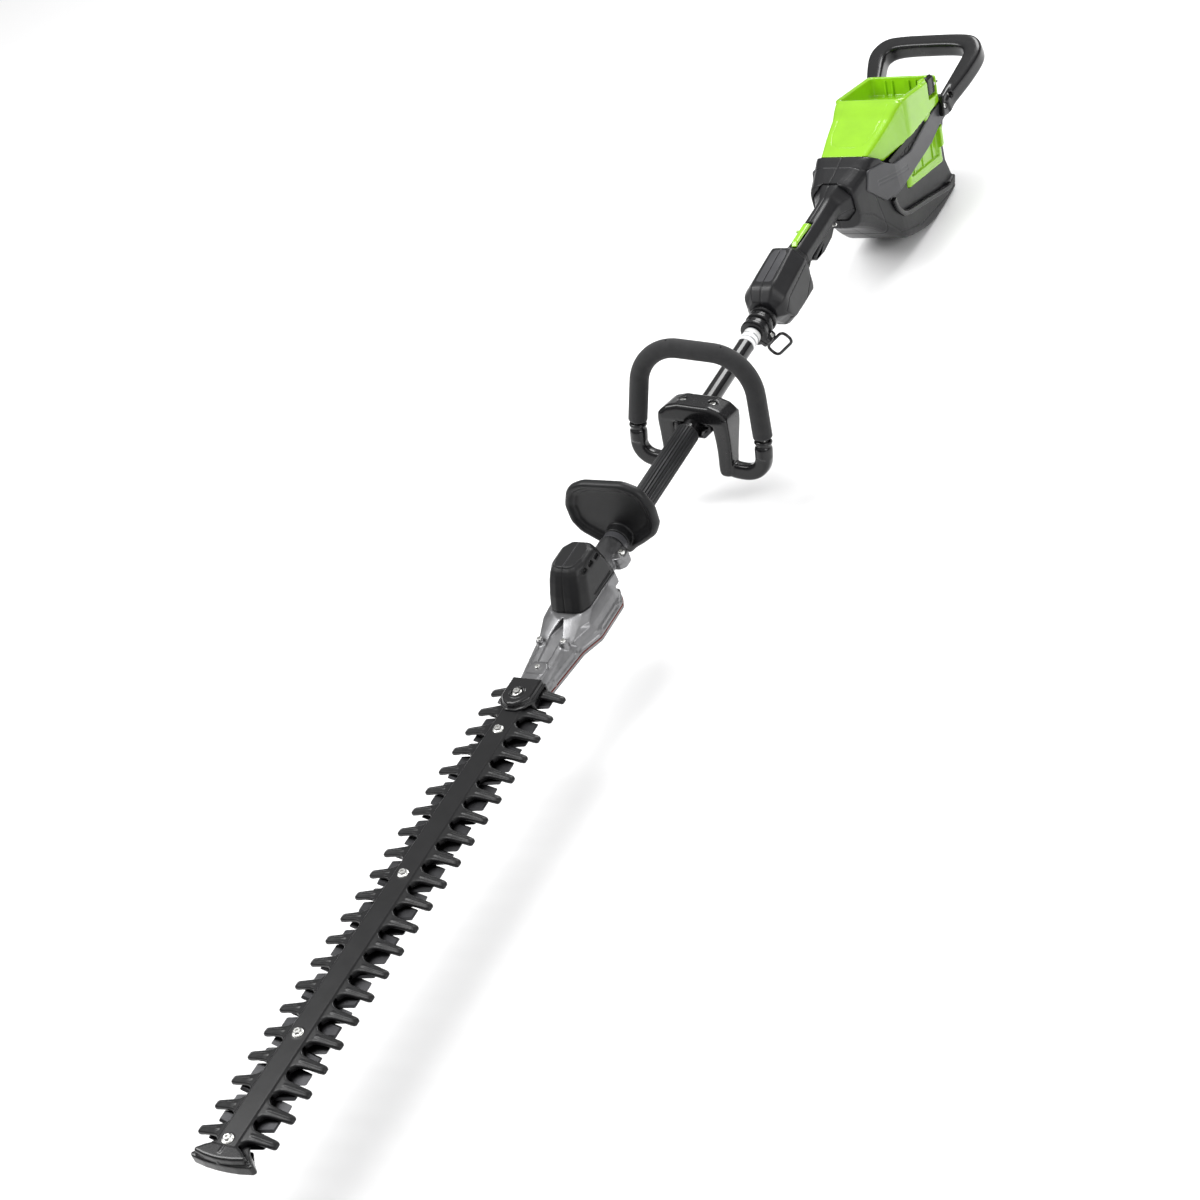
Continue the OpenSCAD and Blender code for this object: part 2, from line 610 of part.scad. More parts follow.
module trigger() color([0.22, 0.22, 0.23]) place() difference() {
  side([[-977, 3], [-966, 3], [-940, 0], [-900, -7], [-896, -12], [-904, -19],
    [-930, -22], [-962, -18], [-977, -9]], -9.5, 9.5);
  y_cyl(-20, 20, 2.05, trigger_pin[0], trigger_pin[1]);
}
module lock_off_lever() color([0.5, 0.8, 0.1]) place() difference() {
  side([[-924, 17], [-924, 31], [-918, 37.5], [-872, 36.5], [-866, 31], [-868, 29],
    [-910, 29], [-912, 17]], -4.8, 4.8);
  y_cyl(-20, 20, 2.05, lever_pin[0], lever_pin[1]);
}
module grip_pins() color([0.7, 0.7, 0.7]) place() {
  y_cyl(-14, 14, 2, lever_pin[0], lever_pin[1]);
  y_cyl(-15.5, 15.5, 2, trigger_pin[0], trigger_pin[1]);
}
module trigger_switch() color([0.2, 0.2, 0.22]) place() {
  block(-890, -862, -8, 8, -9, 4.5);
  block(-893.5, -890, -3, 3, -6, -2);
}

// ---------- battery bay ----------
// Frame of the bay: origin in the middle of its rim, x along the rim, z up out of it
module bay_frame() place() translate([rim[0], 0, rim[1]]) rotate([0, -bay_tilt, 0]) children();
rim_h = 32;
module bay_envelope(grow) {
  block(-bay_l / 2 - grow, bay_l / 2 + grow, -bay_low_w / 2 - grow, bay_low_w / 2 + grow,
    -bay_depth - grow, 0);
  block(-bay_l / 2 - grow, bay_l / 2 + grow, -bay_w / 2 - grow, bay_w / 2 + grow,
    -rim_h - grow, 0);
}
module hood_solid(inset) intersection() {
  side([[-1186, 77 - inset], [-1070 - 2 * inset, 52 - inset],
    [-1098 - inset, 24 - 8 * inset / shell_t], [-1225, 12 - 8 * inset / shell_t], [-1225, 60]],
    -bay_w / 2 + inset, bay_w / 2 - inset);
  plan(mirrored([[-1069, 40 - inset], [-1120, 48 - inset], [-1184, bay_w / 2 - inset],
    [-1230, bay_w / 2 - inset]]), -40, 100);
}
module battery_bay() color([0.55, 0.82, 0.1]) difference() {
  union() {
    place() difference() {
      hood_solid(0);
      hood_solid(shell_t);
    }
    bay_frame() bay_envelope(0);
  }
  bay_frame() {
    block(-bay_l / 2 + shell_t + 2, bay_l / 2 - shell_t, -bay_low_w / 2 + shell_t,
      bay_low_w / 2 - shell_t, -bay_depth + shell_t, 50);
    block(-bay_l / 2 + shell_t + 2, bay_l / 2 - shell_t, -bay_w / 2 + shell_t,
      bay_w / 2 - shell_t, -rim_h + shell_t, 50);
    // Seat of the latch in the rear of the left wall
    block(-bay_l / 2 + 7, -bay_l / 2 + 36, bay_w / 2 - 12, bay_w / 2 + 5, -28, 10);
    x_cyl(latch_x[0] - 7, latch_x[1] + 3, 1.5, latch_pin_at[0], latch_pin_at[1]);
  }
}
module battery_contacts() color([0.75, 0.7, 0.4]) bay_frame() {
  translate([0, 0, -bay_depth + shell_t]) {
    block(-18, 26, -34, 34, 0, 12);
    for (y = [-24:12:24]) block(-12, 20, y - 1, y + 1, 12, 26);
  }
}
// Push button that swings on a pin along the rim; its hook holds the pack
latch_x = [-bay_l / 2 + 12, -bay_l / 2 + 35];
latch_pin_at = [bay_w / 2 - 3.5, -12];
module battery_latch() color([0.1, 0.1, 0.1]) bay_frame() difference() {
  front([[bay_w / 2 - 7, 0.5], [bay_w / 2 - 4, 2], [bay_w / 2 - 0.5, -1], [bay_w / 2 - 0.5, -25],
    [bay_w / 2 - 10, -25], [bay_w / 2 - 10, -22], [bay_w / 2 - 7, -18]], latch_x[0], latch_x[1]);
  x_cyl(-200, 0, 1.55, latch_pin_at[0], latch_pin_at[1]);
}
module latch_pin() color([0.7, 0.7, 0.7]) bay_frame()
  x_cyl(latch_x[0] - 7, latch_x[1] + 3, 1.5, latch_pin_at[0], latch_pin_at[1]);
// Close coils round the trigger's pin and the latch's pin
wire_r = 0.45;
module coil(r, n) for (i = [0:n - 1]) translate([0, 0, wire_r + i * 2.1 * wire_r])
  rotate_extrude() translate([r, 0]) circle(wire_r, $fn = 16);
module return_springs() color([0.7, 0.7, 0.7]) {
  place() both_sides() translate([trigger_pin[0], 9.6, trigger_pin[1]]) rotate([-90, 0, 0])
    coil(2.8, 2);
  bay_frame() translate([latch_x[0] - 4, latch_pin_at[0], latch_pin_at[1]]) rotate([0, 90, 0])
    coil(2.3, 4);
}

// ---------- rear housing ----------
housing_side = [[-1030, 46], [-1068, 50], [-1098, 22], [-1230, 9], [-1320, 0],
  [-1322, -30], [-1296, -60], [-1290, -95], [-1300, -132], [-1284, -150], [-1204, -150],
  [-1150, -138], [-1092, -112], [-1060, -80], [-1012, -34], [-1010, 34]];
function housing_plan(wall) = mirrored([[-1010, 34 - wall], [-1036, 40 - wall],
  [-1110, housing_half - wall], [-1322, housing_half - wall]]);
module housing_body() difference() {
  intersection() {
    side(housing_side, -80, 80);
    plan(housing_plan(0), -170, 80);
  }
  // Socket of the grip's bell and the lead's way in
  x_cyl(-1041, -1000, 54);
  x_cyl(-1070, -1030, 4, 0, cable_z);
  // Hollow front and the controller's chamber
  intersection() {
    side([[-1046, 36], [-1070, 42], [-1092, 22], [-1180, 10], [-1180, -100], [-1090, -100],
      [-1052, -60], [-1046, -30]], -46, 46);
    plan(housing_plan(shell_t), -170, 80);
  }
  side([[-1280, -138], [-1276, -112], [-1130, -74], [-1110, -84], [-1112, -104],
    [-1150, -126], [-1200, -138]], -45, 45);
  // Windows that show the bay below the side bands
  side([[-1150, -50], [-1166, -70], [-1268, -98], [-1262, -40]], -80, 80);
}
module housing_cuts() difference() {
  children();
  translate([rim[0], 0, rim[1]]) rotate([0, -bay_tilt, 0]) bay_envelope(gap);
  hood_solid(-gap);
  both_sides() side(band_side(gap), band_y - 3.9, 80);
}
module housing_left() color([0.13, 0.13, 0.14]) place() left_half() housing_cuts() housing_body();
module housing_right() color([0.13, 0.13, 0.14]) place() right_half() housing_cuts() difference() {
  housing_body();
  mirror([0, 1, 0]) for (p = shell_screws) {
    y_cyl(housing_half - 9, 60, 2, p[0], p[1]);
    y_cyl(housing_half - 3, 60, 3.8, p[0], p[1]);
  }
}
function band_side(g) = [[-1036 + g, 16], [-1054 + g, 40 + g], [-1092, 24 + g], [-1226, 9 + g],
  [-1322 - g, 0 + g], [-1326 - g, -30], [-1250, -38 - g], [-1112, -53 - g], [-1074, -30 - g]];
module side_band() side(band_side(-0.2), band_y - 3.5, band_y);
module side_band_left() color([0.28, 0.28, 0.29]) place() side_band();
module side_band_right() color([0.28, 0.28, 0.29]) place() mirror([0, 1, 0]) side_band();
module controller_board() color([0.1, 0.4, 0.2]) place() {
  block(-1265, -1160, -40, 40, -125, -123.4);
  for (x = [-1260:10:-1210]) block(x, x + 2, -30, 30, -123.4, -116);
}

// ---------- rear bail ----------
bail_at = [-1310, -8];
bail_lean = 14;
bail_t = 26;
foot_y = [band_y + 0.2, 67];
// Half outlines of the bail seen from above: distance behind the screws, and half width
bail_outer = [[-4, 67], [18, 70], [62, 86], [94, 93], [118, 88], [132, 72], [138, 40]];
bail_inner = [[-4, 57.8], [22, 57.8], [58, 66], [90, 72], [106, 66], [112, 56], [115, 38]];
module bail_plan(half, z0, z1) plan([for (p = mirrored(half)) [-p[0], p[1]]], z0, z1);
foot_screws = [[-1318, 4], [-1300, -4]];
module bail_handle() color([0.1, 0.1, 0.11]) place() difference() {
  union() {
    translate([bail_at[0], 0, bail_at[1]]) rotate([0, bail_lean, 0]) difference() {
      bail_plan(bail_outer, -bail_t / 2, bail_t / 2);
      bail_plan([for (p = bail_inner) [p[0] - (p[0] < 0 ? 2 : 0), p[1]]],
        -bail_t, bail_t);
    }
    both_sides() side([[-1286, -16], [-1306, -22], [-1332, -12], [-1336, 14], [-1300, 12]],
      foot_y[0], foot_y[1]);
  }
  both_sides() for (p = foot_screws) {
    y_cyl(foot_y[1] - 3, 90, 4.6, p[0], p[1]);
    y_cyl(50, 90, 2, p[0], p[1]);
  }
}
module bail_screws() color([0.8, 0.8, 0.8]) place() both_sides() for (p = foot_screws) difference() {
  union() {
    y_cyl(band_y, foot_y[1] - 3, 2, p[0], p[1]);
    y_cyl(foot_y[1] - 3, foot_y[1] - 0.5, 4.2, p[0], p[1]);
  }
  y_cyl(foot_y[1] - 2, foot_y[1], 2.2, p[0], p[1], $fn = 6);
}
shell_screws = [[-1100, -84], [-1262, -130]];
module housing_screws() color([0.7, 0.7, 0.7]) place() mirror([0, 1, 0]) for (p = shell_screws) {
  y_cyl(housing_half - 9, housing_half - 3, 2, p[0], p[1]);
  y_cyl(housing_half - 3, housing_half - 0.5, 3.6, p[0], p[1]);
}

pole_tube();
power_cable();
pole_label();
grip_sleeve();
loop_bracket();
loop_core();
foam_grip();
loop_clamp_lower();
loop_clamp_screws();
hand_guard();
guard_collar();
harness_collar();
harness_ring();
harness_screw();
gearbox_case();
gearbox_gasket();
gearbox_cover();
cover_screws();
tube_clamp_screw();
motor_cover_left();
motor_cover_right();
motor_can();
motor_stator();
motor_rotor();
cooling_fan();
motor_shaft();
motor_bearings();
drive_gear();
crankshaft();
gear_bearings();
upper_blade();
lower_blade();
guard_comb();
bottom_rail();
blade_bushes();
blade_bolts();
blade_washers();
blade_nuts();
tip_guard();
nose_cap();
grip_shell_left();
grip_shell_right();
trigger();
lock_off_lever();
trigger_switch();
grip_pins();
battery_bay();
battery_contacts();
battery_latch();
latch_pin();
return_springs();
housing_left();
housing_right();
side_band_left();
side_band_right();
controller_board();
bail_handle();
bail_screws();
housing_screws();
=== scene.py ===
import json
import math

import bmesh
import bpy
import numpy as np
from mathutils import Matrix, Vector


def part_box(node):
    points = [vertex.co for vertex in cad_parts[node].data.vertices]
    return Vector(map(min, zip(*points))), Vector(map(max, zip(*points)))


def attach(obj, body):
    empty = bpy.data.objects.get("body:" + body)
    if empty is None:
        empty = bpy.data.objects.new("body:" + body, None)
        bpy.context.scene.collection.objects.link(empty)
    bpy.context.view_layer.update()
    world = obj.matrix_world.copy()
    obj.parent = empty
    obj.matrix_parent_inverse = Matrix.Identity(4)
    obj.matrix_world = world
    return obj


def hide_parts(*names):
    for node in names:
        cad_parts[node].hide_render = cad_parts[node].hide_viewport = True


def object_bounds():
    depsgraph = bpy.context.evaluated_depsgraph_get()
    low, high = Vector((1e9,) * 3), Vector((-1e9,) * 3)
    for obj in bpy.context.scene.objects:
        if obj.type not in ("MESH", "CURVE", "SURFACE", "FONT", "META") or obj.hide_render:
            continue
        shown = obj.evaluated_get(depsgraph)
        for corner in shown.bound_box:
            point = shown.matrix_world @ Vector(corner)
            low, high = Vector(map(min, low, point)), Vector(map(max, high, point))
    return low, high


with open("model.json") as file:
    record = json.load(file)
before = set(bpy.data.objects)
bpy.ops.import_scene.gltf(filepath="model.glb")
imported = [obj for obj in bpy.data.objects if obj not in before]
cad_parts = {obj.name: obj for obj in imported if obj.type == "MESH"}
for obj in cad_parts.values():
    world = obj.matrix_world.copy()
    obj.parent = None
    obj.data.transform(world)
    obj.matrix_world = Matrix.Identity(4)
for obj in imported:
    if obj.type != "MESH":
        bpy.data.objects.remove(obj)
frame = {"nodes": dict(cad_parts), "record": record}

cad_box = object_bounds()

# ---------------------------------------------------------------- places and units
# Shapes are drawn in millimetres around the pole's axis: x runs to the blade's tip from the
# middle of the first gap in the comb, y to the user's left, z up.
MM = 0.001
COMB_START = 24
pole_low, pole_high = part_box("pole_tube")
comb_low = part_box("guard_comb")[0]
ORIGIN = Vector((comb_low.x - COMB_START * MM, 0, (pole_low.z + pole_high.z) / 2))


def node_box(node):
    """A CAD node's corners in the drawing's millimetres."""
    low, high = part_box(node)
    return (low - ORIGIN) / MM, (high - ORIGIN) / MM


# ---------------------------------------------------------------- camera
# Where the camera stands in the drawing's millimetres, and its right and backward directions
CAMERA_AT = Vector((1962.1, 1748.9, 1956.7))
CAMERA_RIGHT = Vector((-0.42699, 0.85497, -0.29446))
CAMERA_BACK = Vector((0.62564, 0.51444, 0.58645))
LENS, SENSOR = 79.03, 36


def make_camera():
    right = CAMERA_RIGHT.normalized()
    back = CAMERA_BACK.normalized()
    up = back.cross(right).normalized()
    turn = Matrix((right, up, back)).transposed().to_4x4()
    camera = bpy.data.objects.new("camera", bpy.data.cameras.new("camera"))
    bpy.context.scene.collection.objects.link(camera)
    camera.matrix_world = Matrix.Translation(CAMERA_AT * MM + ORIGIN) @ turn
    camera.data.lens = LENS
    camera.data.sensor_width = SENSOR
    camera.data.clip_end = 50
    bpy.context.scene.camera = camera


make_camera()


# ---------------------------------------------------------------- materials
def tree_of(name):
    material = bpy.data.materials.new(name)
    material.use_nodes = True
    nodes, links = material.node_tree.nodes, material.node_tree.links
    nodes.clear()
    out = nodes.new("ShaderNodeOutputMaterial")
    shader = nodes.new("ShaderNodeBsdfPrincipled")
    links.new(shader.outputs["BSDF"], out.inputs["Surface"])
    where = nodes.new("ShaderNodeTexCoord").outputs["Object"]
    return material, nodes, links, shader, where


def noise(nodes, links, where, scale, detail=4, rough=0.55, stretch=None):
    if stretch:
        mapping = nodes.new("ShaderNodeMapping")
        mapping.inputs["Scale"].default_value = stretch
        links.new(where, mapping.inputs["Vector"])
        where = mapping.outputs["Vector"]
    node = nodes.new("ShaderNodeTexNoise")
    node.inputs["Scale"].default_value = scale
    node.inputs["Detail"].default_value = detail
    node.inputs["Roughness"].default_value = rough
    links.new(where, node.inputs["Vector"])
    return node.outputs["Fac"]


def ramp(nodes, links, value, low, high, colors):
    node = nodes.new("ShaderNodeValToRGB")
    node.color_ramp.elements[0].position = low
    node.color_ramp.elements[1].position = high
    node.color_ramp.elements[0].color = (*colors[0], 1)
    node.color_ramp.elements[1].color = (*colors[1], 1)
    links.new(value, node.inputs["Fac"])
    return node.outputs["Color"]


def span(nodes, links, value, low, high):
    node = nodes.new("ShaderNodeMapRange")
    node.inputs["To Min"].default_value = low
    node.inputs["To Max"].default_value = high
    links.new(value, node.inputs["Value"])
    return node.outputs["Result"]


def worn(nodes, links, color, edge, amount, sharp):
    """The colour, lightened where the surface's edges are rubbed."""
    geometry = nodes.new("ShaderNodeNewGeometry")
    mask = nodes.new("ShaderNodeValToRGB")
    mask.color_ramp.elements[0].position = sharp
    mask.color_ramp.elements[1].position = min(1, sharp + 0.08)
    links.new(geometry.outputs["Pointiness"], mask.inputs["Fac"])
    mix = nodes.new("ShaderNodeMix")
    mix.data_type = "RGBA"
    mix.inputs["B"].default_value = (*edge, 1)
    scaled = nodes.new("ShaderNodeMath")
    scaled.operation = "MULTIPLY"
    scaled.inputs[1].default_value = amount
    links.new(mask.outputs["Color"], scaled.inputs[0])
    links.new(scaled.outputs["Value"], mix.inputs["Factor"])
    links.new(color, mix.inputs["A"])
    return mix.outputs["Result"]


def bumped(nodes, links, shader, layers):
    """Adds each (value, strength, distance) layer of bump on top of the last."""
    last = None
    for value, strength, distance in layers:
        bump = nodes.new("ShaderNodeBump")
        bump.inputs["Strength"].default_value = strength
        bump.inputs["Distance"].default_value = distance
        links.new(value, bump.inputs["Height"])
        if last:
            links.new(last, bump.inputs["Normal"])
        last = bump.outputs["Normal"]
    links.new(last, shader.inputs["Normal"])


def plastic(name, color, rough, grain=2600, depth=0.25, patches=0.12, coat=0.0, wear=0.25):
    """Moulded plastic: spark-eroded grain, slow changes of shade and gloss, rubbed edges."""
    material, nodes, links, shader, where = tree_of(name)
    dark = [c * (1 - patches) for c in color]
    light = [min(1, c * (1 + patches)) for c in color]
    shade = ramp(nodes, links, noise(nodes, links, where, 26), 0.35, 0.65, (dark, light))
    edge = [min(1, c * 1.35 + 0.006) for c in color]
    links.new(worn(nodes, links, shade, edge, wear, 0.53), shader.inputs["Base Color"])
    gloss = noise(nodes, links, where, 60, 6)
    links.new(span(nodes, links, gloss, rough * 0.82, rough * 1.2), shader.inputs["Roughness"])
    fine = noise(nodes, links, where, grain, 2, 0.6)
    slow = noise(nodes, links, where, 90, 2)
    bumped(nodes, links, shader, [(slow, 0.05, 0.0003), (fine, depth, 0.00012)])
    shader.inputs["Specular IOR Level"].default_value = 0.32
    shader.inputs["Coat Weight"].default_value = coat
    shader.inputs["Coat Roughness"].default_value = 0.08
    return material


def metal(name, color, rough, brush=None, cast=0.0, tint=0.15):
    """Metal: brushed along one way, or with the pitted skin of a casting."""
    material, nodes, links, shader, where = tree_of(name)
    shader.inputs["Metallic"].default_value = 1.0
    stains = noise(nodes, links, where, 38, 6)
    dark = [c * (1 - tint) for c in color]
    shade = ramp(nodes, links, stains, 0.3, 0.7, (dark, color))
    edge = [min(1, c * 1.25 + 0.05) for c in color]
    links.new(worn(nodes, links, shade, edge, 0.5, 0.53), shader.inputs["Base Color"])
    smear = noise(nodes, links, where, 120, 5)
    links.new(span(nodes, links, smear, rough * 0.75, rough * 1.3), shader.inputs["Roughness"])
    layers = [(noise(nodes, links, where, 420, 3), 0.1 + cast, 0.0003)]
    if cast:
        layers.append((noise(nodes, links, where, 1700, 3, 0.65), cast, 0.0002))
    if brush:
        layers.append((noise(nodes, links, where, 900, 2, 0.5, brush), 0.15, 0.0001))
    bumped(nodes, links, shader, layers)
    return material


def foam(name, color):
    """Closed-cell foam: fine open pores and a matt, slightly dusty skin."""
    material, nodes, links, shader, where = tree_of(name)
    pores = nodes.new("ShaderNodeTexVoronoi")
    pores.inputs["Scale"].default_value = 900
    links.new(where, pores.inputs["Vector"])
    dark = [c * 0.7 for c in color]
    shade = ramp(nodes, links, noise(nodes, links, where, 700, 5), 0.35, 0.7, (dark, color))
    links.new(shade, shader.inputs["Base Color"])
    links.new(span(nodes, links, noise(nodes, links, where, 80), 0.72, 0.95), shader.inputs["Roughness"])
    slow = noise(nodes, links, where, 45, 3)
    bumped(nodes, links, shader, [(slow, 0.15, 0.001), (pores.outputs["Distance"], 0.55, 0.0003)])
    shader.inputs["Sheen Weight"].default_value = 0.12
    shader.inputs["Sheen Roughness"].default_value = 0.5
    return material


def printed_film(name, bars_from, bars_to):
    """White film with three plain grey bars across it, under a clear gloss."""
    bars, white, grey = 3, (0.82, 0.82, 0.81), (0.32, 0.33, 0.34)
    material, nodes, links, shader, where = tree_of(name)
    apart = nodes.new("ShaderNodeSeparateXYZ")
    links.new(where, apart.inputs["Vector"])
    wave = nodes.new("ShaderNodeMath")
    wave.operation = "SINE"
    scaled = nodes.new("ShaderNodeMath")
    scaled.operation = "MULTIPLY"
    scaled.inputs[1].default_value = 2 * math.pi * bars / (bars_to - bars_from)
    links.new(apart.outputs["X"], scaled.inputs[0])
    links.new(scaled.outputs["Value"], wave.inputs[0])
    base = ramp(nodes, links, wave.outputs["Value"], 0.55, 0.62, (white, grey))
    links.new(base, shader.inputs["Base Color"])
    links.new(span(nodes, links, noise(nodes, links, where, 90), 0.25, 0.4), shader.inputs["Roughness"])
    bumped(nodes, links, shader, [(noise(nodes, links, where, 300), 0.1, 0.0002)])
    shader.inputs["Coat Weight"].default_value = 0.5
    shader.inputs["Coat Roughness"].default_value = 0.1
    return material


LABEL_LOW, LABEL_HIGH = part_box("pole_label")
GREEN = (0.235, 0.50, 0.008)
materials = {
    "pole_paint": plastic("pole_paint", (0.004, 0.004, 0.0045), 0.14, 800, 0.03, 0.1, 0.35),
    "black_plastic": plastic("black_plastic", (0.005, 0.005, 0.0055), 0.26, 2400, 0.1, 0.12, 0.2, 0.0),
    "housing_plastic": plastic("housing_plastic", (0.009, 0.009, 0.01), 0.36, 2200, 0.25, 0.12, 0.0, 0.05),
    "band_plastic": plastic("band_plastic", (0.05, 0.05, 0.054), 0.32, 2400, 0.25),
    "green_plastic": plastic("green_plastic", GREEN, 0.2, 900, 0.03, 0.05, 0.6, 0.1),
    "motor_cover_plastic": plastic("motor_cover_plastic", (0.006, 0.006, 0.0065), 0.42, 2000, 0.4),
    "guard_plastic": plastic("guard_plastic", (0.006, 0.006, 0.0066), 0.44, 2000, 0.35),
    "foam": foam("foam", (0.011, 0.011, 0.012)),
    "sleeve_rubber": plastic("sleeve_rubber", (0.01, 0.01, 0.011), 0.46, 1800, 0.4),
    "label": printed_film("label", LABEL_LOW.x, LABEL_HIGH.x),
    "cast_aluminium": metal("cast_aluminium", (0.24, 0.24, 0.245), 0.4, None, 0.2, 0.25),
    "gasket": plastic("gasket", (0.2, 0.045, 0.035), 0.75, 1500, 0.5),
    "comb_steel": plastic("comb_steel", (0.006, 0.006, 0.0065), 0.33, 1500, 0.3, 0.2, 0.0, 0.4),
    "blade_steel": metal("blade_steel", (0.045, 0.045, 0.048), 0.34, (1, 12, 1)),
    "zinc_steel": metal("zinc_steel", (0.72, 0.72, 0.7), 0.26),
    "machined_steel": metal("machined_steel", (0.5, 0.5, 0.52), 0.25, (8, 8, 1)),
    "copper": metal("copper", (0.75, 0.33, 0.16), 0.3),
    "cable_jacket": plastic("cable_jacket", (0.02, 0.02, 0.02), 0.5),
    "switch_plastic": plastic("switch_plastic", (0.004, 0.004, 0.004), 0.5),
    "circuit_board": plastic("circuit_board", (0.015, 0.12, 0.05), 0.4, 500, 0.3),
    "contact_metal": metal("contact_metal", (0.75, 0.62, 0.35), 0.28),
}


def dress_nodes():
    """Gives every CAD node the material of its slot."""
    for part in frame["record"]["subparts"]:
        data = frame["nodes"][part["node"]].data
        data.materials.clear()
        data.materials.append(materials[part["material_slot"]])


dress_nodes()


# ---------------------------------------------------------------- outlines
def arc(center, radius, start, end, steps):
    """Points of an arc in degrees, ends included."""
    angles = np.radians(np.linspace(start, end, steps + 1))
    return [(center[0] + radius * math.cos(a), center[1] + radius * math.sin(a)) for a in angles]


def rounded(points, radius, steps=5):
    """A closed outline with its corners rounded: radius is one number or one per point."""
    count = len(points)
    radii = radius if hasattr(radius, "__len__") else [radius] * count
    out = []
    for i, (point, r) in enumerate(zip(points, radii)):
        p = Vector(point)
        before = Vector(points[i - 1]) - p
        after = Vector(points[(i + 1) % count]) - p
        angle = before.angle(after)
        if r <= 0 or angle > math.radians(176):
            out.append(tuple(p))
            continue
        reach = min(r / math.tan(angle / 2), 0.48 * before.length, 0.48 * after.length)
        a = p + before.normalized() * reach
        b = p + after.normalized() * reach
        for k in range(steps + 1):
            t = k / steps
            out.append(tuple(a * (1 - t) ** 2 + p * 2 * t * (1 - t) + b * t * t))
    return out


def mirrored(half):
    """A closed outline from its half with positive y, given as (x, y)."""
    return list(half) + [(x, -y) for x, y in reversed(half)]


def oblong(x0, x1, y0, y1):
    return [(x0, y0), (x1, y0), (x1, y1), (x0, y1)]


def rectangle(x0, x1, half):
    return oblong(x0, x1, -half, half)


def smooth_path(points, steps=8, closed=False):
    """A Catmull-Rom curve through points of any dimension."""
    p = [np.array(q, float) for q in points]
    count = len(p)
    out = []
    for i in range(count if closed else count - 1):
        if closed:
            q = [p[(i + k) % count] for k in (-1, 0, 1, 2)]
        else:
            q = [p[max(i - 1, 0)], p[i], p[i + 1], p[min(i + 2, count - 1)]]
        for k in range(steps):
            t = k / steps
            out.append(0.5 * (2 * q[1] + (q[2] - q[0]) * t
                              + (2 * q[0] - 5 * q[1] + 4 * q[2] - q[3]) * t * t
                              + (3 * q[1] - q[0] - 3 * q[2] + q[3]) * t ** 3))
    if not closed:
        out.append(p[-1])
    return out


# ---------------------------------------------------------------- solids, in millimetres
def raw(verts, faces, name="raw"):
    """A mesh object from vertices and faces in millimetres, with its faces turned outward."""
    data = bpy.data.meshes.new(name)
    data.from_pydata([tuple(v) for v in verts], [], [tuple(f) for f in faces])
    bm = bmesh.new()
    bm.from_mesh(data)
    bmesh.ops.recalc_face_normals(bm, faces=bm.faces)
    bm.to_mesh(data)
    bm.free()
    thing = bpy.data.objects.new(name, data)
    bpy.context.scene.collection.objects.link(thing)
    return thing


def loft(rings, closed=False):
    """A skin over rings of equal length: capped at both ends, or joined end to start."""
    count = len(rings[0])
    verts = [tuple(p) for ring in rings for p in ring]
    faces = []
    for i in range(len(rings) if closed else len(rings) - 1):
        a, b = i * count, (i + 1) % len(rings) * count
        for k in range(count):
            n = (k + 1) % count
            faces.append((a + k, a + n, b + n, b + k))
    if not closed:
        faces.append(tuple(range(count)))
        faces.append(tuple(range(len(verts) - count, len(verts))))
    return raw(verts, faces)


AXES = {"x": (1, 2, 0), "y": (0, 2, 1), "z": (0, 1, 2)}


def stacked(layers, along="x"):
    """A skin over outlines of equal length, each at its own level along an axis."""
    u, v, w = AXES[along]
    rings = []
    for level, outline in layers:
        ring = []
        for a, b in outline:
            q = [0.0, 0.0, 0.0]
            q[u], q[v], q[w] = a, b, level
            ring.append(q)
        rings.append(ring)
    return loft(rings)


def prism(outline, low, high, along="z", bevel=0.0, steps=3):
    """An extruded outline with rounded ends. Along x it is (y, z), along y (x, z), along z (x, y)."""
    if not bevel:
        return stacked([(low, outline), (high, outline)], along)
    ends = [(bevel * (1 - math.sin(a)), bevel * (1 - math.cos(a)))
            for a in np.linspace(0, math.pi / 2, steps + 1)]
    layers = [(low + d, shrunk(outline, inset)) for inset, d in ends]
    layers += [(high - d, shrunk(outline, inset)) for inset, d in reversed(ends)]
    return stacked(layers, along)


def soft_box(stations, steps=1, corner=5):
    """A box along x whose size changes on the way. A station is its x, the low and high edge, the
    half widths and then the radii there."""
    layers = []
    for x, low, high, w_low, w_high, r_low, r_high in smooth_path(stations, steps):
        outline = rounded([(-w_low, low), (w_low, low), (w_high, high), (-w_high, high)],
                          [r_low, r_low, r_high, r_high], corner)
        layers.append((x, outline))
    return stacked(layers)


def facet_box(stations, steps=1, corner=4):
    """An eight-sided box along x. A station is its x, low, high, half width, the half widths of
    its low and high faces, the heights of its low and high slopes, and its corners' radius."""
    layers = []
    for x, low, high, w, b_low, b_high, s_low, s_high, r in smooth_path(stations, steps):
        side = [(b_low, low), (w, low + s_low), (w, high - s_high), (b_high, high)]
        outline = side + [(-y, z) for y, z in reversed(side)]
        layers.append((x, rounded(outline, r, corner)))
    return stacked(layers)


def shrunk(outline, amount):
    """An outline moved inward by amount, corner by corner."""
    if not amount:
        return [tuple(p) for p in outline]
    p = np.array(outline, float)
    area = 0.5 * np.sum(p[:, 0] * np.roll(p[:, 1], -1) - np.roll(p[:, 0], -1) * p[:, 1])
    ahead = np.roll(p, -1, 0) - p
    ahead /= np.linalg.norm(ahead, axis=1)[:, None] + 1e-9
    behind = np.roll(ahead, 1, 0)
    normal = np.c_[-ahead[:, 1], ahead[:, 0]] * np.sign(area)
    normal_b = np.c_[-behind[:, 1], behind[:, 0]] * np.sign(area)
    both = normal + normal_b
    scale = 2 / np.maximum(np.sum(both * both, 1), 0.9)
    return [tuple(q) for q in p + both * (scale * amount)[:, None]]


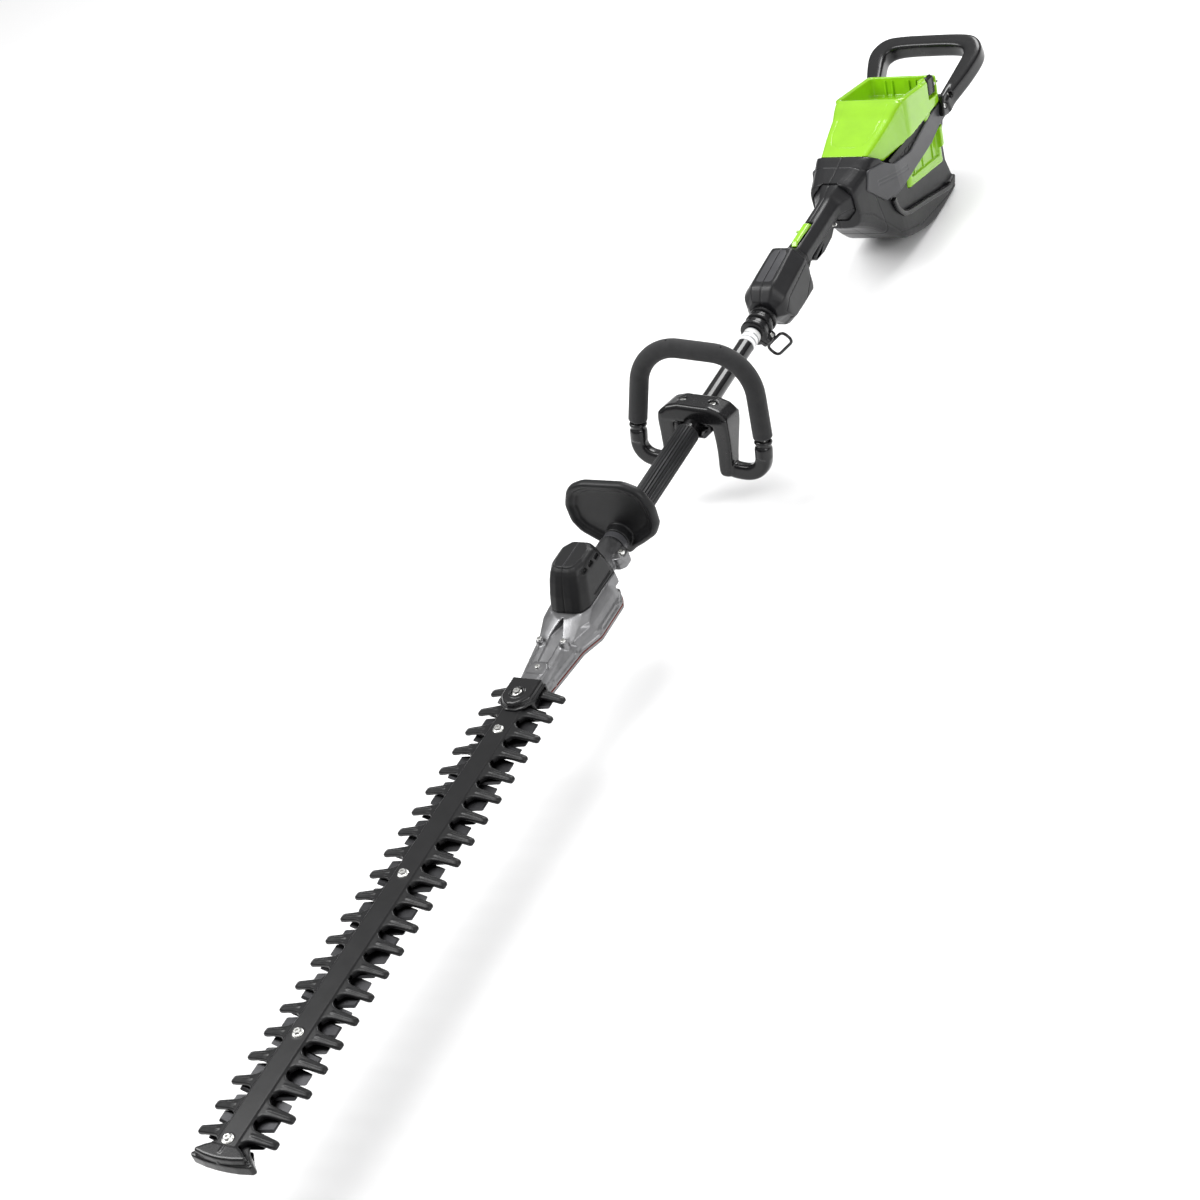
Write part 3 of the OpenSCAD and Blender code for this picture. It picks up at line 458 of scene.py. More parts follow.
def sweep(path, section, up=(0, 0, 1), scales=None, closed=False):
    """A section (side, up) swept along a path; scales gives each point's (side, up) factors."""
    path = [np.array(p, float) for p in path]
    rings = []
    count = len(path)
    for i, p in enumerate(path):
        if closed:
            tangent = path[(i + 1) % count] - path[i - 1]
        else:
            tangent = path[min(i + 1, count - 1)] - path[max(i - 1, 0)]
        tangent /= np.linalg.norm(tangent)
        side = np.cross(tangent, np.array(up, float))
        side /= np.linalg.norm(side)
        lift = np.cross(side, tangent)
        a, b = scales[i] if scales is not None else (1, 1)
        rings.append([p + side * s * a + lift * t * b for s, t in section])
    return loft(rings, closed)


def circle(radius, steps=32):
    return arc((0, 0), radius, 0, 360, steps)[:-1]


def circle_at(x, y, radius, steps):
    return [(x + a, y + b) for a, b in circle(radius, steps)]


def lathe(profile, center=(0, 0, 0), along="x", steps=64):
    """A profile of (along, radius) turned about an axis through center."""
    u, v, w = AXES[along]
    rings = []
    for level, radius in profile:
        ring = []
        for a, b in circle(max(radius, 0.01), steps):
            q = [0.0, 0.0, 0.0]
            q[u], q[v], q[w] = a, b, level
            ring.append(np.array(q) + np.array(center))
        rings.append(ring)
    return loft(rings)


def joined(things):
    """One object from several, without any merging."""
    things = list(things)
    bm = bmesh.new()
    for thing in things:
        data = thing.data
        data.transform(thing.matrix_world)
        bm.from_mesh(data)
    data = bpy.data.meshes.new("joined")
    bm.to_mesh(data)
    bm.free()
    for thing in things:
        bpy.data.objects.remove(thing)
    out = bpy.data.objects.new("joined", data)
    bpy.context.scene.collection.objects.link(out)
    return out


def applied(thing, kind, **settings):
    """The object with one modifier applied."""
    modifier = thing.modifiers.new("m", kind)
    for key, value in settings.items():
        setattr(modifier, key, value)
    bpy.context.view_layer.update()
    graph = bpy.context.evaluated_depsgraph_get()
    data = bpy.data.meshes.new_from_object(thing.evaluated_get(graph))
    thing.modifiers.clear()
    thing.data = data
    return thing


def cut(thing, cutters, solver="EXACT"):
    """The object less its cutters, which are used up."""
    cutters = list(cutters)
    if not cutters:
        return thing
    tool = joined(cutters)
    applied(thing, "BOOLEAN", object=tool, operation="DIFFERENCE", solver=solver, use_self=True)
    bpy.data.objects.remove(tool)
    return thing


def united(things):
    """One skin over overlapping solids, with its corners left crisp."""
    things = list(things)
    tool = joined(things[1:])
    applied(things[0], "BOOLEAN", object=tool, operation="UNION", solver="EXACT", use_self=True)
    bpy.data.objects.remove(tool)
    return things[0]


def moulded(things, cutters=(), voxel=1.2, soften=4, fuse=False):
    """Solids made one skin, cut, and with all their corners softened, as one moulding."""
    out = joined(things)
    if fuse:
        applied(out, "REMESH", mode="VOXEL", voxel_size=voxel)
    cut(out, cutters)
    applied(out, "REMESH", mode="VOXEL", voxel_size=voxel)
    if soften:
        applied(out, "SMOOTH", factor=0.5, iterations=soften)
    return out


def pressed(thing, distance, width, depth):
    """Sinks a groove where distance(x, y, z), an array of millimetres from its line, is small."""
    data = thing.data
    count = len(data.vertices)
    co = np.zeros(count * 3)
    data.vertices.foreach_get("co", co)
    co = co.reshape(-1, 3)
    normals = np.zeros(count * 3)
    data.vertices.foreach_get("normal", normals)
    normals = normals.reshape(-1, 3)
    away = np.abs(distance(co, normals)) / width
    sink = depth * np.clip(1 - away ** 2, 0, 1)
    data.vertices.foreach_set("co", (co - normals * sink[:, None]).ravel())
    data.update()
    return thing


def off_line(points, axes=(0, 2), side=1, facing=0.35):
    """The distance from a broken line, seen along the axis side, on surfaces that face that way."""
    line = np.array(points, float)

    def distance(co, normals):
        q = co[:, axes]
        best = np.full(len(q), 1e6)
        for a, b in zip(line[:-1], line[1:]):
            run = b - a
            t = np.clip(((q - a) @ run) / (run @ run), 0, 1)
            best = np.minimum(best, np.linalg.norm(q - a - t[:, None] * run, axis=1))
        return np.where(np.abs(normals[:, side]) > facing, best, 1e6)

    return distance


def off_middle(co, normals):
    """The distance from the middle plane."""
    return co[:, 1]


def turned(thing, matrix):
    thing.data.transform(matrix)
    return thing


def moved(thing, x, y, z):
    return turned(thing, Matrix.Translation((x, y, z)))


def upright(profile, x, y, steps, z=0):
    """A profile of (height, radius) turned about an upright axis."""
    return lathe(profile, center=(x, y, z), along="z", steps=steps)


def side_slab(outline, side, near, far, bevel=0.0):
    """A prism along y on one side (1 or -1), between two distances from the middle."""
    low, high = sorted((side * near, side * far))
    return prism(outline, low, high, "y", bevel)


def side_prism(outline, near, far, bevel=0.0):
    """The same prism along y on both sides of the middle."""
    return [side_slab(outline, side, near, far, bevel) for side in (1, -1)]


def halved(thing, side, gap=0.12):
    """The part of a solid on one side of the middle plane."""
    bm = bmesh.new()
    bm.from_mesh(thing.data)
    plane = dict(plane_co=(0, side * gap, 0), plane_no=(0, -side, 0))
    geometry = bm.verts[:] + bm.edges[:] + bm.faces[:]
    bmesh.ops.bisect_plane(bm, geom=geometry, clear_outer=True, **plane)
    bmesh.ops.holes_fill(bm, edges=[e for e in bm.edges if e.is_boundary])
    bmesh.ops.recalc_face_normals(bm, faces=bm.faces)
    bm.to_mesh(thing.data)
    bm.free()
    return thing


def copy_of(thing):
    out = bpy.data.objects.new(thing.name, thing.data.copy())
    bpy.context.scene.collection.objects.link(out)
    return out


def sharp_shading(data, degrees):
    """Smooth shading, with edges sharper than an angle left crisp."""
    bm = bmesh.new()
    bm.from_mesh(data)
    for face in bm.faces:
        face.smooth = True
    for edge in bm.edges:
        if len(edge.link_faces) == 2 and edge.calc_face_angle(0) > math.radians(degrees):
            edge.smooth = False
    bm.to_mesh(data)
    bm.free()


SLOTS = {part["node"]: part["material_slot"] for part in frame["record"]["subparts"]}
BODIES = {node: body for body, nodes in frame["record"]["behaviour"]["bodies"].items() for node in nodes}
SIDES = ((1, "left"), (-1, "right"))


def place(thing, name, *nodes, crisp=38, material=None, body=None):
    """Puts a finished shape in the row frame in the stead of CAD nodes."""
    thing.name = name
    thing.data.name = name
    thing.data.transform(Matrix.Translation(ORIGIN) @ Matrix.Scale(MM, 4))
    sharp_shading(thing.data, crisp)
    kind = material or SLOTS[nodes[0]]
    thing.data.materials.clear()
    thing.data.materials.append(materials[kind])
    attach(thing, body or BODIES[nodes[0]])
    if nodes:
        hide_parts(*nodes)
    return thing


def place_halves(thing, name, node):
    """Places the left and the right half of a shell, each in the stead of its own CAD node."""
    other = copy_of(thing)
    place(halved(thing, 1), name + "_left", node + "_left", crisp=60)
    place(halved(other, -1), name + "_right", node + "_right", crisp=60)


# ---------------------------------------------------------------- pole
POLE_R = (pole_high.z - pole_low.z) / 2 / MM


def make_pole():
    low, high = node_box("pole_tube")
    inner = POLE_R - 1.6
    tube = lathe([(low.x, inner), (low.x, POLE_R - 0.4), (low.x + 0.4, POLE_R),
                  (high.x - 0.4, POLE_R), (high.x, POLE_R - 0.4), (high.x, inner)], steps=96)
    place(tube, "pole", "pole_tube")
    low, high = node_box("pole_label")
    skin = POLE_R + 0.3
    band = lathe([(low.x, POLE_R), (low.x, skin - 0.1), (low.x + 0.3, skin),
                  (high.x - 0.3, skin), (high.x, skin - 0.1), (high.x, POLE_R)], steps=96)
    place(band, "pole_band", "pole_label")


def make_sleeve():
    """Rubber sleeve with rounded flutes and plain ends."""
    low, high = node_box("grip_sleeve")
    flutes, steps = 24, 8
    outer = 16.8

    def ring(x, flute, shrink):
        out = []
        for k in range(flutes * steps):
            a = 2 * math.pi * k / (flutes * steps)
            dip = max(0.0, math.cos(a * flutes)) ** 3 * flute
            r = outer - shrink - dip
            out.append((x, r * math.cos(a), r * math.sin(a)))
        return out

    # From either end: distance from it, depth of the flutes, and how far the skin is drawn in
    end = [(0, 0, 2.5), (0, 0, 0.8), (0.8, 0, 0), (3.4, 0, 0), (3.8, 1.5, 0)]
    rings = [ring(low.x + d, flute, shrink) for d, flute, shrink in end]
    rings += [ring(high.x - d, flute, shrink) for d, flute, shrink in reversed(end)]
    place(loft(rings), "fluted_sleeve", "grip_sleeve")


make_pole()
make_sleeve()


# ---------------------------------------------------------------- loop handle
LOOP_AT = -506
LOOP_LEAN, LOOP_ROLL = math.radians(14), math.radians(-7)
LOOP_FRAME = (Matrix.Translation((LOOP_AT, 0, 0)) @ Matrix.Rotation(LOOP_ROLL, 4, "X")
              @ Matrix.Rotation(-LOOP_LEAN, 4, "Y"))
LOOP_HALF, LOOP_TOP, FOAM_END = 95, 97, -20
FOAM_R = 13.5
LOOP_SCREW_Y = 22.5


def loop_line():
    """The loop's centre line in its own plane, from the right end over the top to the left."""
    taper, bend = math.radians(6.5), 63
    y_c = LOOP_HALF - (LOOP_TOP - FOAM_END) * math.tan(taper) - bend * math.tan(math.pi / 4 - taper / 2)
    z_c = LOOP_TOP - bend
    half = [(LOOP_HALF, FOAM_END)]
    knee = (y_c + bend * math.cos(taper), z_c + bend * math.sin(taper))
    half += [(half[0][0] + (knee[0] - half[0][0]) * k / 8, half[0][1] + (knee[1] - half[0][1]) * k / 8)
             for k in range(1, 8)]
    half += arc((y_c, z_c), bend, math.degrees(taper), 90, 20)
    half += [(y_c * (1 - k / 4), LOOP_TOP) for k in range(1, 4)]
    line = [(0, -y, z) for y, z in half] + [(0, 0, LOOP_TOP)]
    return line + [(0, y, z) for y, z in reversed(half)]


def make_foam():
    line = loop_line()
    count = len(line)
    extra = [(0.3 + k * 1.1, s) for k, s in enumerate((0.80, 0.93, 0.985, 1.0))]
    start = np.array(line[1]) - np.array(line[0])
    start /= np.linalg.norm(start)
    stop = np.array(line[-2]) - np.array(line[-1])
    stop /= np.linalg.norm(stop)
    head = [tuple(np.array(line[0]) + start * d) for d, s in extra]
    tail = [tuple(np.array(line[-1]) + stop * d) for d, s in reversed(extra)]
    path = head + line[1:-1] + tail
    scales = [(s, s) for d, s in extra] + [(1, 1)] * (count - 2) + [(s, s) for d, s in reversed(extra)]
    grip = sweep(path, circle(FOAM_R, 48), up=(1, 0, 0), scales=scales)
    turned(grip, LOOP_FRAME)
    cut(grip, [turned(upright([(0, 1.5), (30, 1.5)], 3, y, 20, 85), LOOP_FRAME) for y in (-41, 41)])
    place(grip, "foam_sleeve", "foam_grip")


def loop_leg(side):
    """The glossy end under the foam: collar and groove, low bend, and the flat arm inward."""
    y = side * LOOP_HALF
    profile = [(-22, 11.5), (-22.6, 12.6), (-26, 12.9), (-26.8, 12.2), (-27.4, 10.6), (-31, 10.6),
               (-31.8, 12.2), (-35, 12.6), (-48, 12.3)]
    collar = upright(profile[::-1], 0, y, 48)
    path = [(0, y, -40), (0, y, -50), (0, y - side * 3, -60), (0, y - side * 11, -68.5),
            (0, y - side * 22, -72.5), (0, y - side * 34, -73), (0, side * 50, -72)]
    section = rounded(rectangle(-12, 12, 9), 6, 4)
    path = smooth_path(path, 5)
    bend = sweep(path, section, up=(1, 0, 0), scales=[(0.93, 1)] * len(path))
    return [collar, bend]


def pole_bore():
    """The pole's room in the loop's own frame, which leans."""
    return turned(lathe([(-60, POLE_R), (60, POLE_R)]), Matrix.Rotation(LOOP_LEAN, 4, "Y"))


def make_bracket():
    """Bracket and clamp block: two legs, two broad arms and a soft-shouldered block."""
    parts = loop_leg(1) + loop_leg(-1)
    # Each arm broadens from the low arm up to the block: height, back, front, inner, outer
    rows = [(-81, -10, 10, 38, 47), (-78, -13, 13, 34, 50), (-70, -13, 13, 31.5, 51.5),
            (-45, -14, 14.5, 31, 52.5), (-22, -17.5, 18, 30, 53), (-4, -21, 22, 29, 53),
            (9, -22, 23.5, 28, 52)]
    for side in (-1, 1):
        layers = []
        for z, back, front, inner, outer in smooth_path(rows, 3):
            ring = rounded(oblong(back, front, inner, outer), 4.2)
            layers.append((z, ring if side > 0 else [(x, -y) for x, y in reversed(ring)]))
        parts.append(stacked(layers, "z"))
    top = rounded([(-52, -4), (52, -4), (52, 10), (40, 20), (24, 24.5), (-24, 24.5), (-40, 20), (-52, 10)], 9)
    parts.append(prism(top, -22, 23.5, "x", 6))
    cutters = [pole_bore()]
    cutters += [upright([(16.5, 6), (40, 6)], 0, y, 32) for y in (-LOOP_SCREW_Y, LOOP_SCREW_Y)]
    cutters.append(prism(oblong(-28, 28, -30, -0.5), -30, 30, "x"))
    bracket = moulded(parts, cutters, 1.05, 11, fuse=True)
    turned(bracket, LOOP_FRAME)
    place(bracket, "loop_bracket_shell", "loop_bracket", crisp=60)
    low = rounded([(-27.5, -0.7), (27.5, -0.7), (27.5, -12), (18, -22.5), (-18, -22.5), (-27.5, -12)], 4)
    lower = prism(low, -20.5, 22.5, "x", 3)
    cut(lower, [pole_bore()])
    turned(lower, LOOP_FRAME)
    place(lower, "loop_clamp_shell", "loop_clamp_lower")


def socket_screw(radius, height, socket, shank, length, along="z"):
    """A cap screw with a rounded head and a hex socket, its head's seat at zero."""
    head = [(-length, shank * 0.7), (-length + 0.5, shank), (0, shank), (0, radius - 0.3),
            (0.3, radius), (height - 0.6, radius), (height - 0.15, radius - 0.25), (height, radius - 0.7)]
    screw = lathe(head, along=along, steps=36)
    hexagon = lathe([(height - 1.8, socket), (height + 1, socket)], along=along, steps=6)
    return cut(screw, [hexagon])


def make_loop_screws():
    screws = []
    for y in (-LOOP_SCREW_Y, LOOP_SCREW_Y):
        screw = socket_screw(4.6, 4, 2.3, 2.5, 16)
        turned(screw, LOOP_FRAME @ Matrix.Translation((0, y, 18.4)))
        screws.append(screw)
    place(joined(screws), "loop_socket_screws", "loop_clamp_screws")


make_foam()
make_bracket()
make_loop_screws()


# ---------------------------------------------------------------- hand guard
GUARD_AT = -260


def make_guard():
    """A soft dish: rolled rim, recessed panel and a hub round the pole."""
    half = [(30, 88), (55, 78), (67, 49), (66, 22), (56, 5), (36, -9), (21, -18), (10, -27)]
    outline = half + [(-y, z) for y, z in reversed(half)]
    radii = [34, 34, 26, 22, 20, 14, 16, 8]
    edge = np.array(rounded(outline, radii + radii[::-1], 6))
    middle = np.array([0, 26])

    def ring(x, inset):
        points = np.array(shrunk(edge, inset)) if inset < 24 else middle + (edge - middle) * (1 - inset / 60)
        return [(x, y, z) for y, z in points]

    # Across the rim: from the middle of the back, round the roll, to the middle of the dish
    rows = [(1.5, 50), (1.5, 24), (0.5, 12), (0, 7), (0.6, 2.6), (2.6, 0.7), (5.5, 0), (9, 0.1), (12, 1.2),
            (13.6, 3.2), (14, 5.4), (13.3, 7.6), (11.2, 9.2), (9.6, 10.6), (9.2, 12.4), (9.0, 14),
            (7.0, 15.6), (6.4, 17.5), (6.2, 22), (6.0, 30), (6.0, 50)]
    dish = loft([ring(GUARD_AT + x, inset) for x, inset in rows])
    hub = lathe([(GUARD_AT - 3, 17.4), (GUARD_AT - 2.4, 18), (GUARD_AT + 8, 18.6), (GUARD_AT + 14, 18.2),
                 (GUARD_AT + 19.4, 18), (GUARD_AT + 20, 17.4)], steps=48)
    guard = moulded([dish, hub], [lathe([(-300, POLE_R), (-200, POLE_R)])], 1.1, 4, fuse=True)
    place(guard, "guard_dish", "hand_guard", crisp=60)
    x0, x1 = GUARD_AT + 20.1, -230
    collar = lathe([(x0, POLE_R), (x0, 16.2), (x0 + 0.8, 17), (x1 - 0.8, 17), (x1, 16.2), (x1, POLE_R)])
    place(collar, "guard_band", "guard_collar", material="band_plastic")


make_guard()


# ---------------------------------------------------------------- harness collar
EAR_TURN = Matrix.Rotation(math.radians(-50), 4, "X")
COLLAR_RUN = (-736, -696)
RING_AT = -715


def make_collar():
    x0, x1 = COLLAR_RUN
    profile = [(x0, POLE_R)]
    for start, end in ((x0, x0 + 8), (x0 + 15, x0 + 23), (x1 - 8, x1)):
        profile += [(start, 18.6), (start + 0.9, 20.1), (start + 2, 20.5), (end - 2, 20.5),
                    (end - 0.9, 20.1), (end, 18.6)]
        if end < x1:
            profile += [(end + 0.3, 17.5)]
            profile += [((x0 + 15 if end < x0 + 10 else x1 - 8) - 0.3, 17.5)]
    profile.append((x1, POLE_R))
    body = lathe(profile)
    ear = rounded(oblong(x0 + 17, x1 - 1, 10, 27), [0, 0, 5, 5])
    ears = turned(prism(ear, -8, 8, "z", 2), EAR_TURN)
    slit = turned(prism(oblong(x0 - 1, x1 + 1, 10, 30), -0.8, 0.8), EAR_TURN)
    collar = joined([body, ears])
    cut(collar, [slit])
    place(collar, "strap_collar", "harness_collar")
    screw = socket_screw(3.3, 2.5, 1.6, 2, 15.5)
    turned(screw, EAR_TURN @ Matrix.Translation((-708.5, 21.7, 8)))
    place(screw, "strap_screw", "harness_screw")


def make_ring():
    """Flat D ring with a rounded section, on a tongue between the ears."""
    wire = 2.25
    length, width = 46 - 4.5, 25 - 4.5
    line = [(0, 39.5 + x, y) for x, y in rounded(rectangle(-width / 2, width / 2, length / 2), 9, 8)]
    hoop = sweep(line, circle(wire, 16), up=(1, 0, 0), closed=True)
    tongue = prism(rounded(oblong(-wire, wire, 18, 29), 0.3), -0.7, 0.7)
    ring = turned(joined([hoop, tongue]), Matrix.Translation((RING_AT, 0, 0)) @ EAR_TURN)
    place(ring, "strap_ring", "harness_ring")


make_collar()
make_ring()


# ---------------------------------------------------------------- rear grip
def make_grip():
    """Bell, round grip and faceted pod, in two shells."""
    stations = [(-1046, -37, 38, 36, 20, 16, 18, 20, 8), (-1024, -30, 41, 35.5, 19, 15, 18, 20, 8),
                (-1009, -18, 41, 30, 14, 12, 16, 19, 8), (-995, -8, 38, 23, 11, 9, 13, 16, 8),
                (-981, -4.5, 34.5, 18.5, 9, 7, 12, 14, 8), (-940, -4, 33, 18, 9, 7, 12, 13.5, 8),
                (-886, -5, 32.5, 18, 9, 7, 12, 13.5, 8), (-864, -14, 33, 19, 10, 8, 14, 14, 8)]
    pod = [(-864, -14, 32, 17, 9, 7, 13, 13, 6), (-850, -27, 36, 23, 12, 9, 15, 14, 4),
           (-844, -33, 44.5, 27.5, 13, 12.5, 17, 16, 4), (-836, -36, 49, 31, 15, 15, 17, 18.5, 4.5),
           (-828, -36, 50, 32, 15, 15.5, 17, 19, 4.5), (-772, -36, 44.5, 33, 15, 17, 17, 18, 4.5),
           (-760, -27, 43.6, 33.2, 13.5, 16.5, 15, 18, 4.5), (-752, -19, 41, 32.4, 13, 16, 14, 17.5, 4.5),
           (-745, -14, 34, 29, 12, 15, 12, 15, 4), (-737, -9, 24.5, 21, 11, 13, 10, 12, 2.5)]
    parts = [facet_box(stations, 4), facet_box(pod, 2)]
    cutters = [lathe([(-802, POLE_R), (-700, POLE_R)]),
               prism(oblong(-928, -861, 10, 60), -5.6, 5.6, "y"),
               prism([(-980, -30), (-980, 4), (-890, 4), (-890, -30)], -10.2, 10.2, "y")]
    grip = moulded(parts, cutters, 1.1, 4)
    panel = [(-846, 8), (-838, 26), (-762, 16), (-748, 2), (-760, -16), (-800, -24), (-846, 8)]
    pressed(grip, off_line(panel), 1.1, 0.9)
    pressed(grip, off_line([(-1046, -8), (-1000, 4), (-930, 8), (-900, 2), (-868, 6), (-846, 8)]), 1.1, 0.9)
    pressed(grip, off_middle, 0.9, 0.8)
    # The lighter grey panels on the pod's top are partly the panels' own satin grey and partly a painted
    # sheen, standing in for the overhead light reflected off the top faces.
    lean = Matrix.Translation((-800, 0, 46.9)) @ Matrix.Rotation(math.radians(5.6), 4, "Y")
    for side, word in SIDES:
        half = rounded([(-30, 0.7), (39, 0.7), (39, 12.6), (-22, 12), (-30, 8)], [0.6, 1.5, 5, 5, 3])
        if side < 0:
            half = [(x, -y) for x, y in reversed(half)]
        panel = turned(prism(half, 0, 1, "z", 0.4), lean)
        place(panel, "pod_panel_" + word, material="band_plastic", body="frame")
    place_halves(grip, "grip", "grip_shell")


def pin_hole(x, z):
    return prism(circle_at(x, z, 2.05, 24), -20, 20, "y")


def make_controls():
    lever = prism(rounded([(-924, 17), (-924, 31), (-917, 37.5), (-873, 36.5), (-866, 31), (-868, 29),
                           (-910, 29), (-912, 17)], [0.5, 3, 4, 4, 3, 1, 1, 0.5]), -4.8, 4.8, "y", 2.2, 5)
    cut(lever, [pin_hole(-918, 22)])
    place(lever, "lock_lever", "lock_off_lever")
    trigger = prism(rounded([(-977, 3), (-966, 3), (-940, 0), (-900, -7), (-896, -12), (-904, -19),
                             (-930, -22), (-962, -18), (-977, -9)], 3), -9.5, 9.5, "y", 3, 5)
    cut(trigger, [pin_hole(-972, -2)])
    place(trigger, "trigger_lever", "trigger")


make_grip()
make_controls()


# ---------------------------------------------------------------- battery bay
BAY_TILT = math.radians(14.5)
BAY = Matrix.Translation((-1249, 0, 60.5)) @ Matrix.Rotation(-BAY_TILT, 4, "Y")
HOOD_LINE = [(-1069.5, 52), (-1104, 22), (-1226, 11), (-1335, 2)]


def guide_rib(x0, x1, half, y, low, high):
    """A rib inside the bay, where the battery slides."""
    return moved(prism(rounded(rectangle(x0, x1, half), 1), low, high, "z"), 0, y, 0)


def make_bay():
    """Green bay with its hood, windows in its sides, guide ribs inside and an engraved line."""
    upper = prism(rounded(rectangle(-65.5, 66, 59), [8, 18, 18, 8], 6), -112, 0, "z", 3.5, 4)
    lower = prism(rounded(rectangle(-65.5, 65.5, 53), 8), -138, -20, "z", 2)
    post = prism(rounded([(-8, 57), (-29, 57), (-31, 46), (-24, 37), (-14, 44)], 3), -60, 5, "z", 2)
    parts = [turned(thing, BAY) for thing in (upper, lower, post)]
    parts.append(soft_box([(-1240, -4, 58, 58.8, 57, 2, 9), (-1188, -4, 74, 58.8, 55, 2, 10),
                           (-1182, -4, 75.5, 58.6, 54, 2, 10), (-1168, -4, 72.5, 57, 51.5, 2, 10),
                           (-1157, -4, 68.4, 55.4, 49.5, 2, 10), (-1150, -4, 66.4, 54.6, 48.6, 2, 10),
                           (-1142, -4, 65.2, 53.6, 47.8, 2, 10), (-1110, -4, 60, 49.5, 44, 2, 10),
                           (-1085, -4, 55.4, 44.5, 40, 2, 9), (-1069, -4, 52.6, 41.5, 37.5, 2, 8)], 2))
    inner = [prism(rounded(rectangle(-57.5, 59.5, 51), 11), -29, 30, "z"),
             prism(rounded(rectangle(-57.5, 59.5, 49), 9), -134, 30, "z"),
             prism(oblong(-57, -27.5, 41, 64), -29, 30, "z")]
    window = rounded(oblong(-52, 56, -124, -76), 5)
    inner += [side_slab(window, side, 43, 60) for side in (-1, 1)]
    cutters = [turned(thing, BAY) for thing in inner]
    below = HOOD_LINE + [(-1335, -30), (-1069.5, -30)]
    cutters += side_prism(below, 53.2, 80)
    ahead = [(-1060, 52.4), (-1069.5, 52.4), (-1104, 22), (-1160, 16), (-1160, -30), (-1060, -30)]
    cutters.append(prism(ahead, -80, 80, "y"))
    bay = moulded(parts, cutters, 1.3, 4)
    frame_line = [(-1178, -37), (-1120, -34), (-1096, -27), (-1089, -15), (-1089, 15), (-1096, 27),
                  (-1120, 34), (-1178, 37)]
    pressed(bay, off_line(frame_line, (0, 1), 2, 0.5), 1.1, 0.7)
    ribs = [guide_rib(-60, -54, 1.6, y, -128, -5) for y in (-26, -14, 14, 26)]
    for side in (-1, 1):
        for x in (-34, 4, 38):
            ribs.append(guide_rib(x - 1.6, x + 1.6, 4, side * 47, -128, -34))
            ribs.append(guide_rib(x - 6, x - 3, 3, side * 46, -122, -32))
    ribs = turned(joined(ribs), BAY)
    place(joined([bay, ribs]), "green_bay", "battery_bay", crisp=60)
    panels = []
    vent = [(-1102, 22), (-1216, 10.6), (-1262, 6.6), (-1262, 0), (-1170, -6), (-1118, 7)]
    for side in (-1, 1):
        panels.append(side_slab(rounded(vent, 2), side, 53.3, 54.6))
        for i in range(8):
            x = -1128 - 15 * i
            slat = [(x, 8 - i * 1.4), (x - 11, 8 - i * 1.4), (x - 10, 0.5 - i * 0.9), (x + 1, 0.5 - i * 0.9)]
            panels.append(side_slab(rounded(slat, 1), side, 54.3, 55.3, 0.4))
    place(joined(panels), "hood_vents", material="switch_plastic", body="frame")


def make_latch():
    """Black latch with a scooped thumb face, on its pin."""
    side = rounded([(47, -18), (47, -2), (49, 3), (53, 4.5), (58.3, 1), (58.3, -24), (49, -24)],
                   [3, 3, 2, 3, 4, 2, 2])
    latch = prism(side, -53.5, -30.5, "x", 2)
    scoop = lathe([(-50, 4.5), (-34, 4.5)], center=(0, 50, 4.5), steps=24)
    pin = lathe([(-70, 1.55), (0, 1.55)], center=(0, 55.5, -12), steps=20)
    cut(latch, [scoop, pin])
    place(turned(latch, BAY), "latch_button", "battery_latch")


make_bay()
make_latch()


# ---------------------------------------------------------------- rear housing
BAND_SIDE = [(-1036, 14), (-1051, 40), (-1091, 29), (-1114, 12), (-1170, -3), (-1262, 5), (-1322, -1),
             (-1325, -20), (-1244, -36), (-1098, -36), (-1074, -29)]


def make_housing():
    """Lower housing in two shells: collar, shelf below the bay, recessed sides and panel lines."""
    body = soft_box([(-1010, -33, 41, 35, 34, 28, 25), (-1013, -37, 43, 38, 37, 30, 26),
                       (-1035, -52, 46, 41, 42, 28, 24), (-1052, -66, 49, 43, 45, 24, 22),
                       (-1069, -84, 52, 46, 47, 18, 16), (-1090, -103, 50, 50, 51.5, 14, 14),
                       (-1112, -120, 40, 53, 55.5, 12, 10), (-1163, -139, 30, 54, 57, 10, 8),
                       (-1207, -149.4, 25, 54, 57.3, 8, 8), (-1290, -149.4, 15, 53, 57.3, 8, 8),
                       (-1324, -149.4, 8, 52, 57, 8, 8)], 3)
    above = HOOD_LINE + [(-1335, 90), (-1069.5, 90)]
    behind = [(-1325, 4), (-1325, -30), (-1297, -60), (-1291, -95), (-1301, -132), (-1290, -152),
              (-1360, -152), (-1360, 4)]
    recess = [(-1088, -30), (-1093, -56), (-1112, -79), (-1264, -131), (-1330, -124), (-1330, -30)]
    vent = [(-1084, 36), (-1114, 8), (-1170, -7), (-1270, 4), (-1270, 30), (-1150, 40)]
    cutters = [prism(above, -90, 90, "y"), prism(behind, -90, 90, "y")]
    grip_room = [(-1060, -38, 39.6, 37, 21, 17, 18, 20, 8), (-1024, -31, 42, 36.5, 20, 16, 18, 20, 8),
                 (-1004, -16, 42, 29, 14, 12, 16, 19, 8)]
    cutters.append(facet_box(grip_room))
    cutters += side_prism(rounded(recess, 6), 48.5, 80)
    cutters += side_prism(rounded(vent, 4), 45, 80)
    cutters += side_prism(rounded(BAND_SIDE, 4), 53, 80)
    cutters.append(turned(prism(rectangle(-66, 66, 53.4), -138.5, 20, "z"), BAY))
    housing = moulded([body], cutters, 1.3, 4)
    pressed(housing, off_line([(-1012, -10), (-1040, -30), (-1093, -96), (-1150, -122), (-1264, -141),
                               (-1300, -141)]), 1.2, 1.0)
    pressed(housing, lambda co, normals: co[:, 0] + 1046 + 0.16 * (53 - co[:, 2]), 1.1, 0.8)
    pressed(housing, off_middle, 0.9, 0.8)
    place_halves(housing, "housing_shell", "housing")


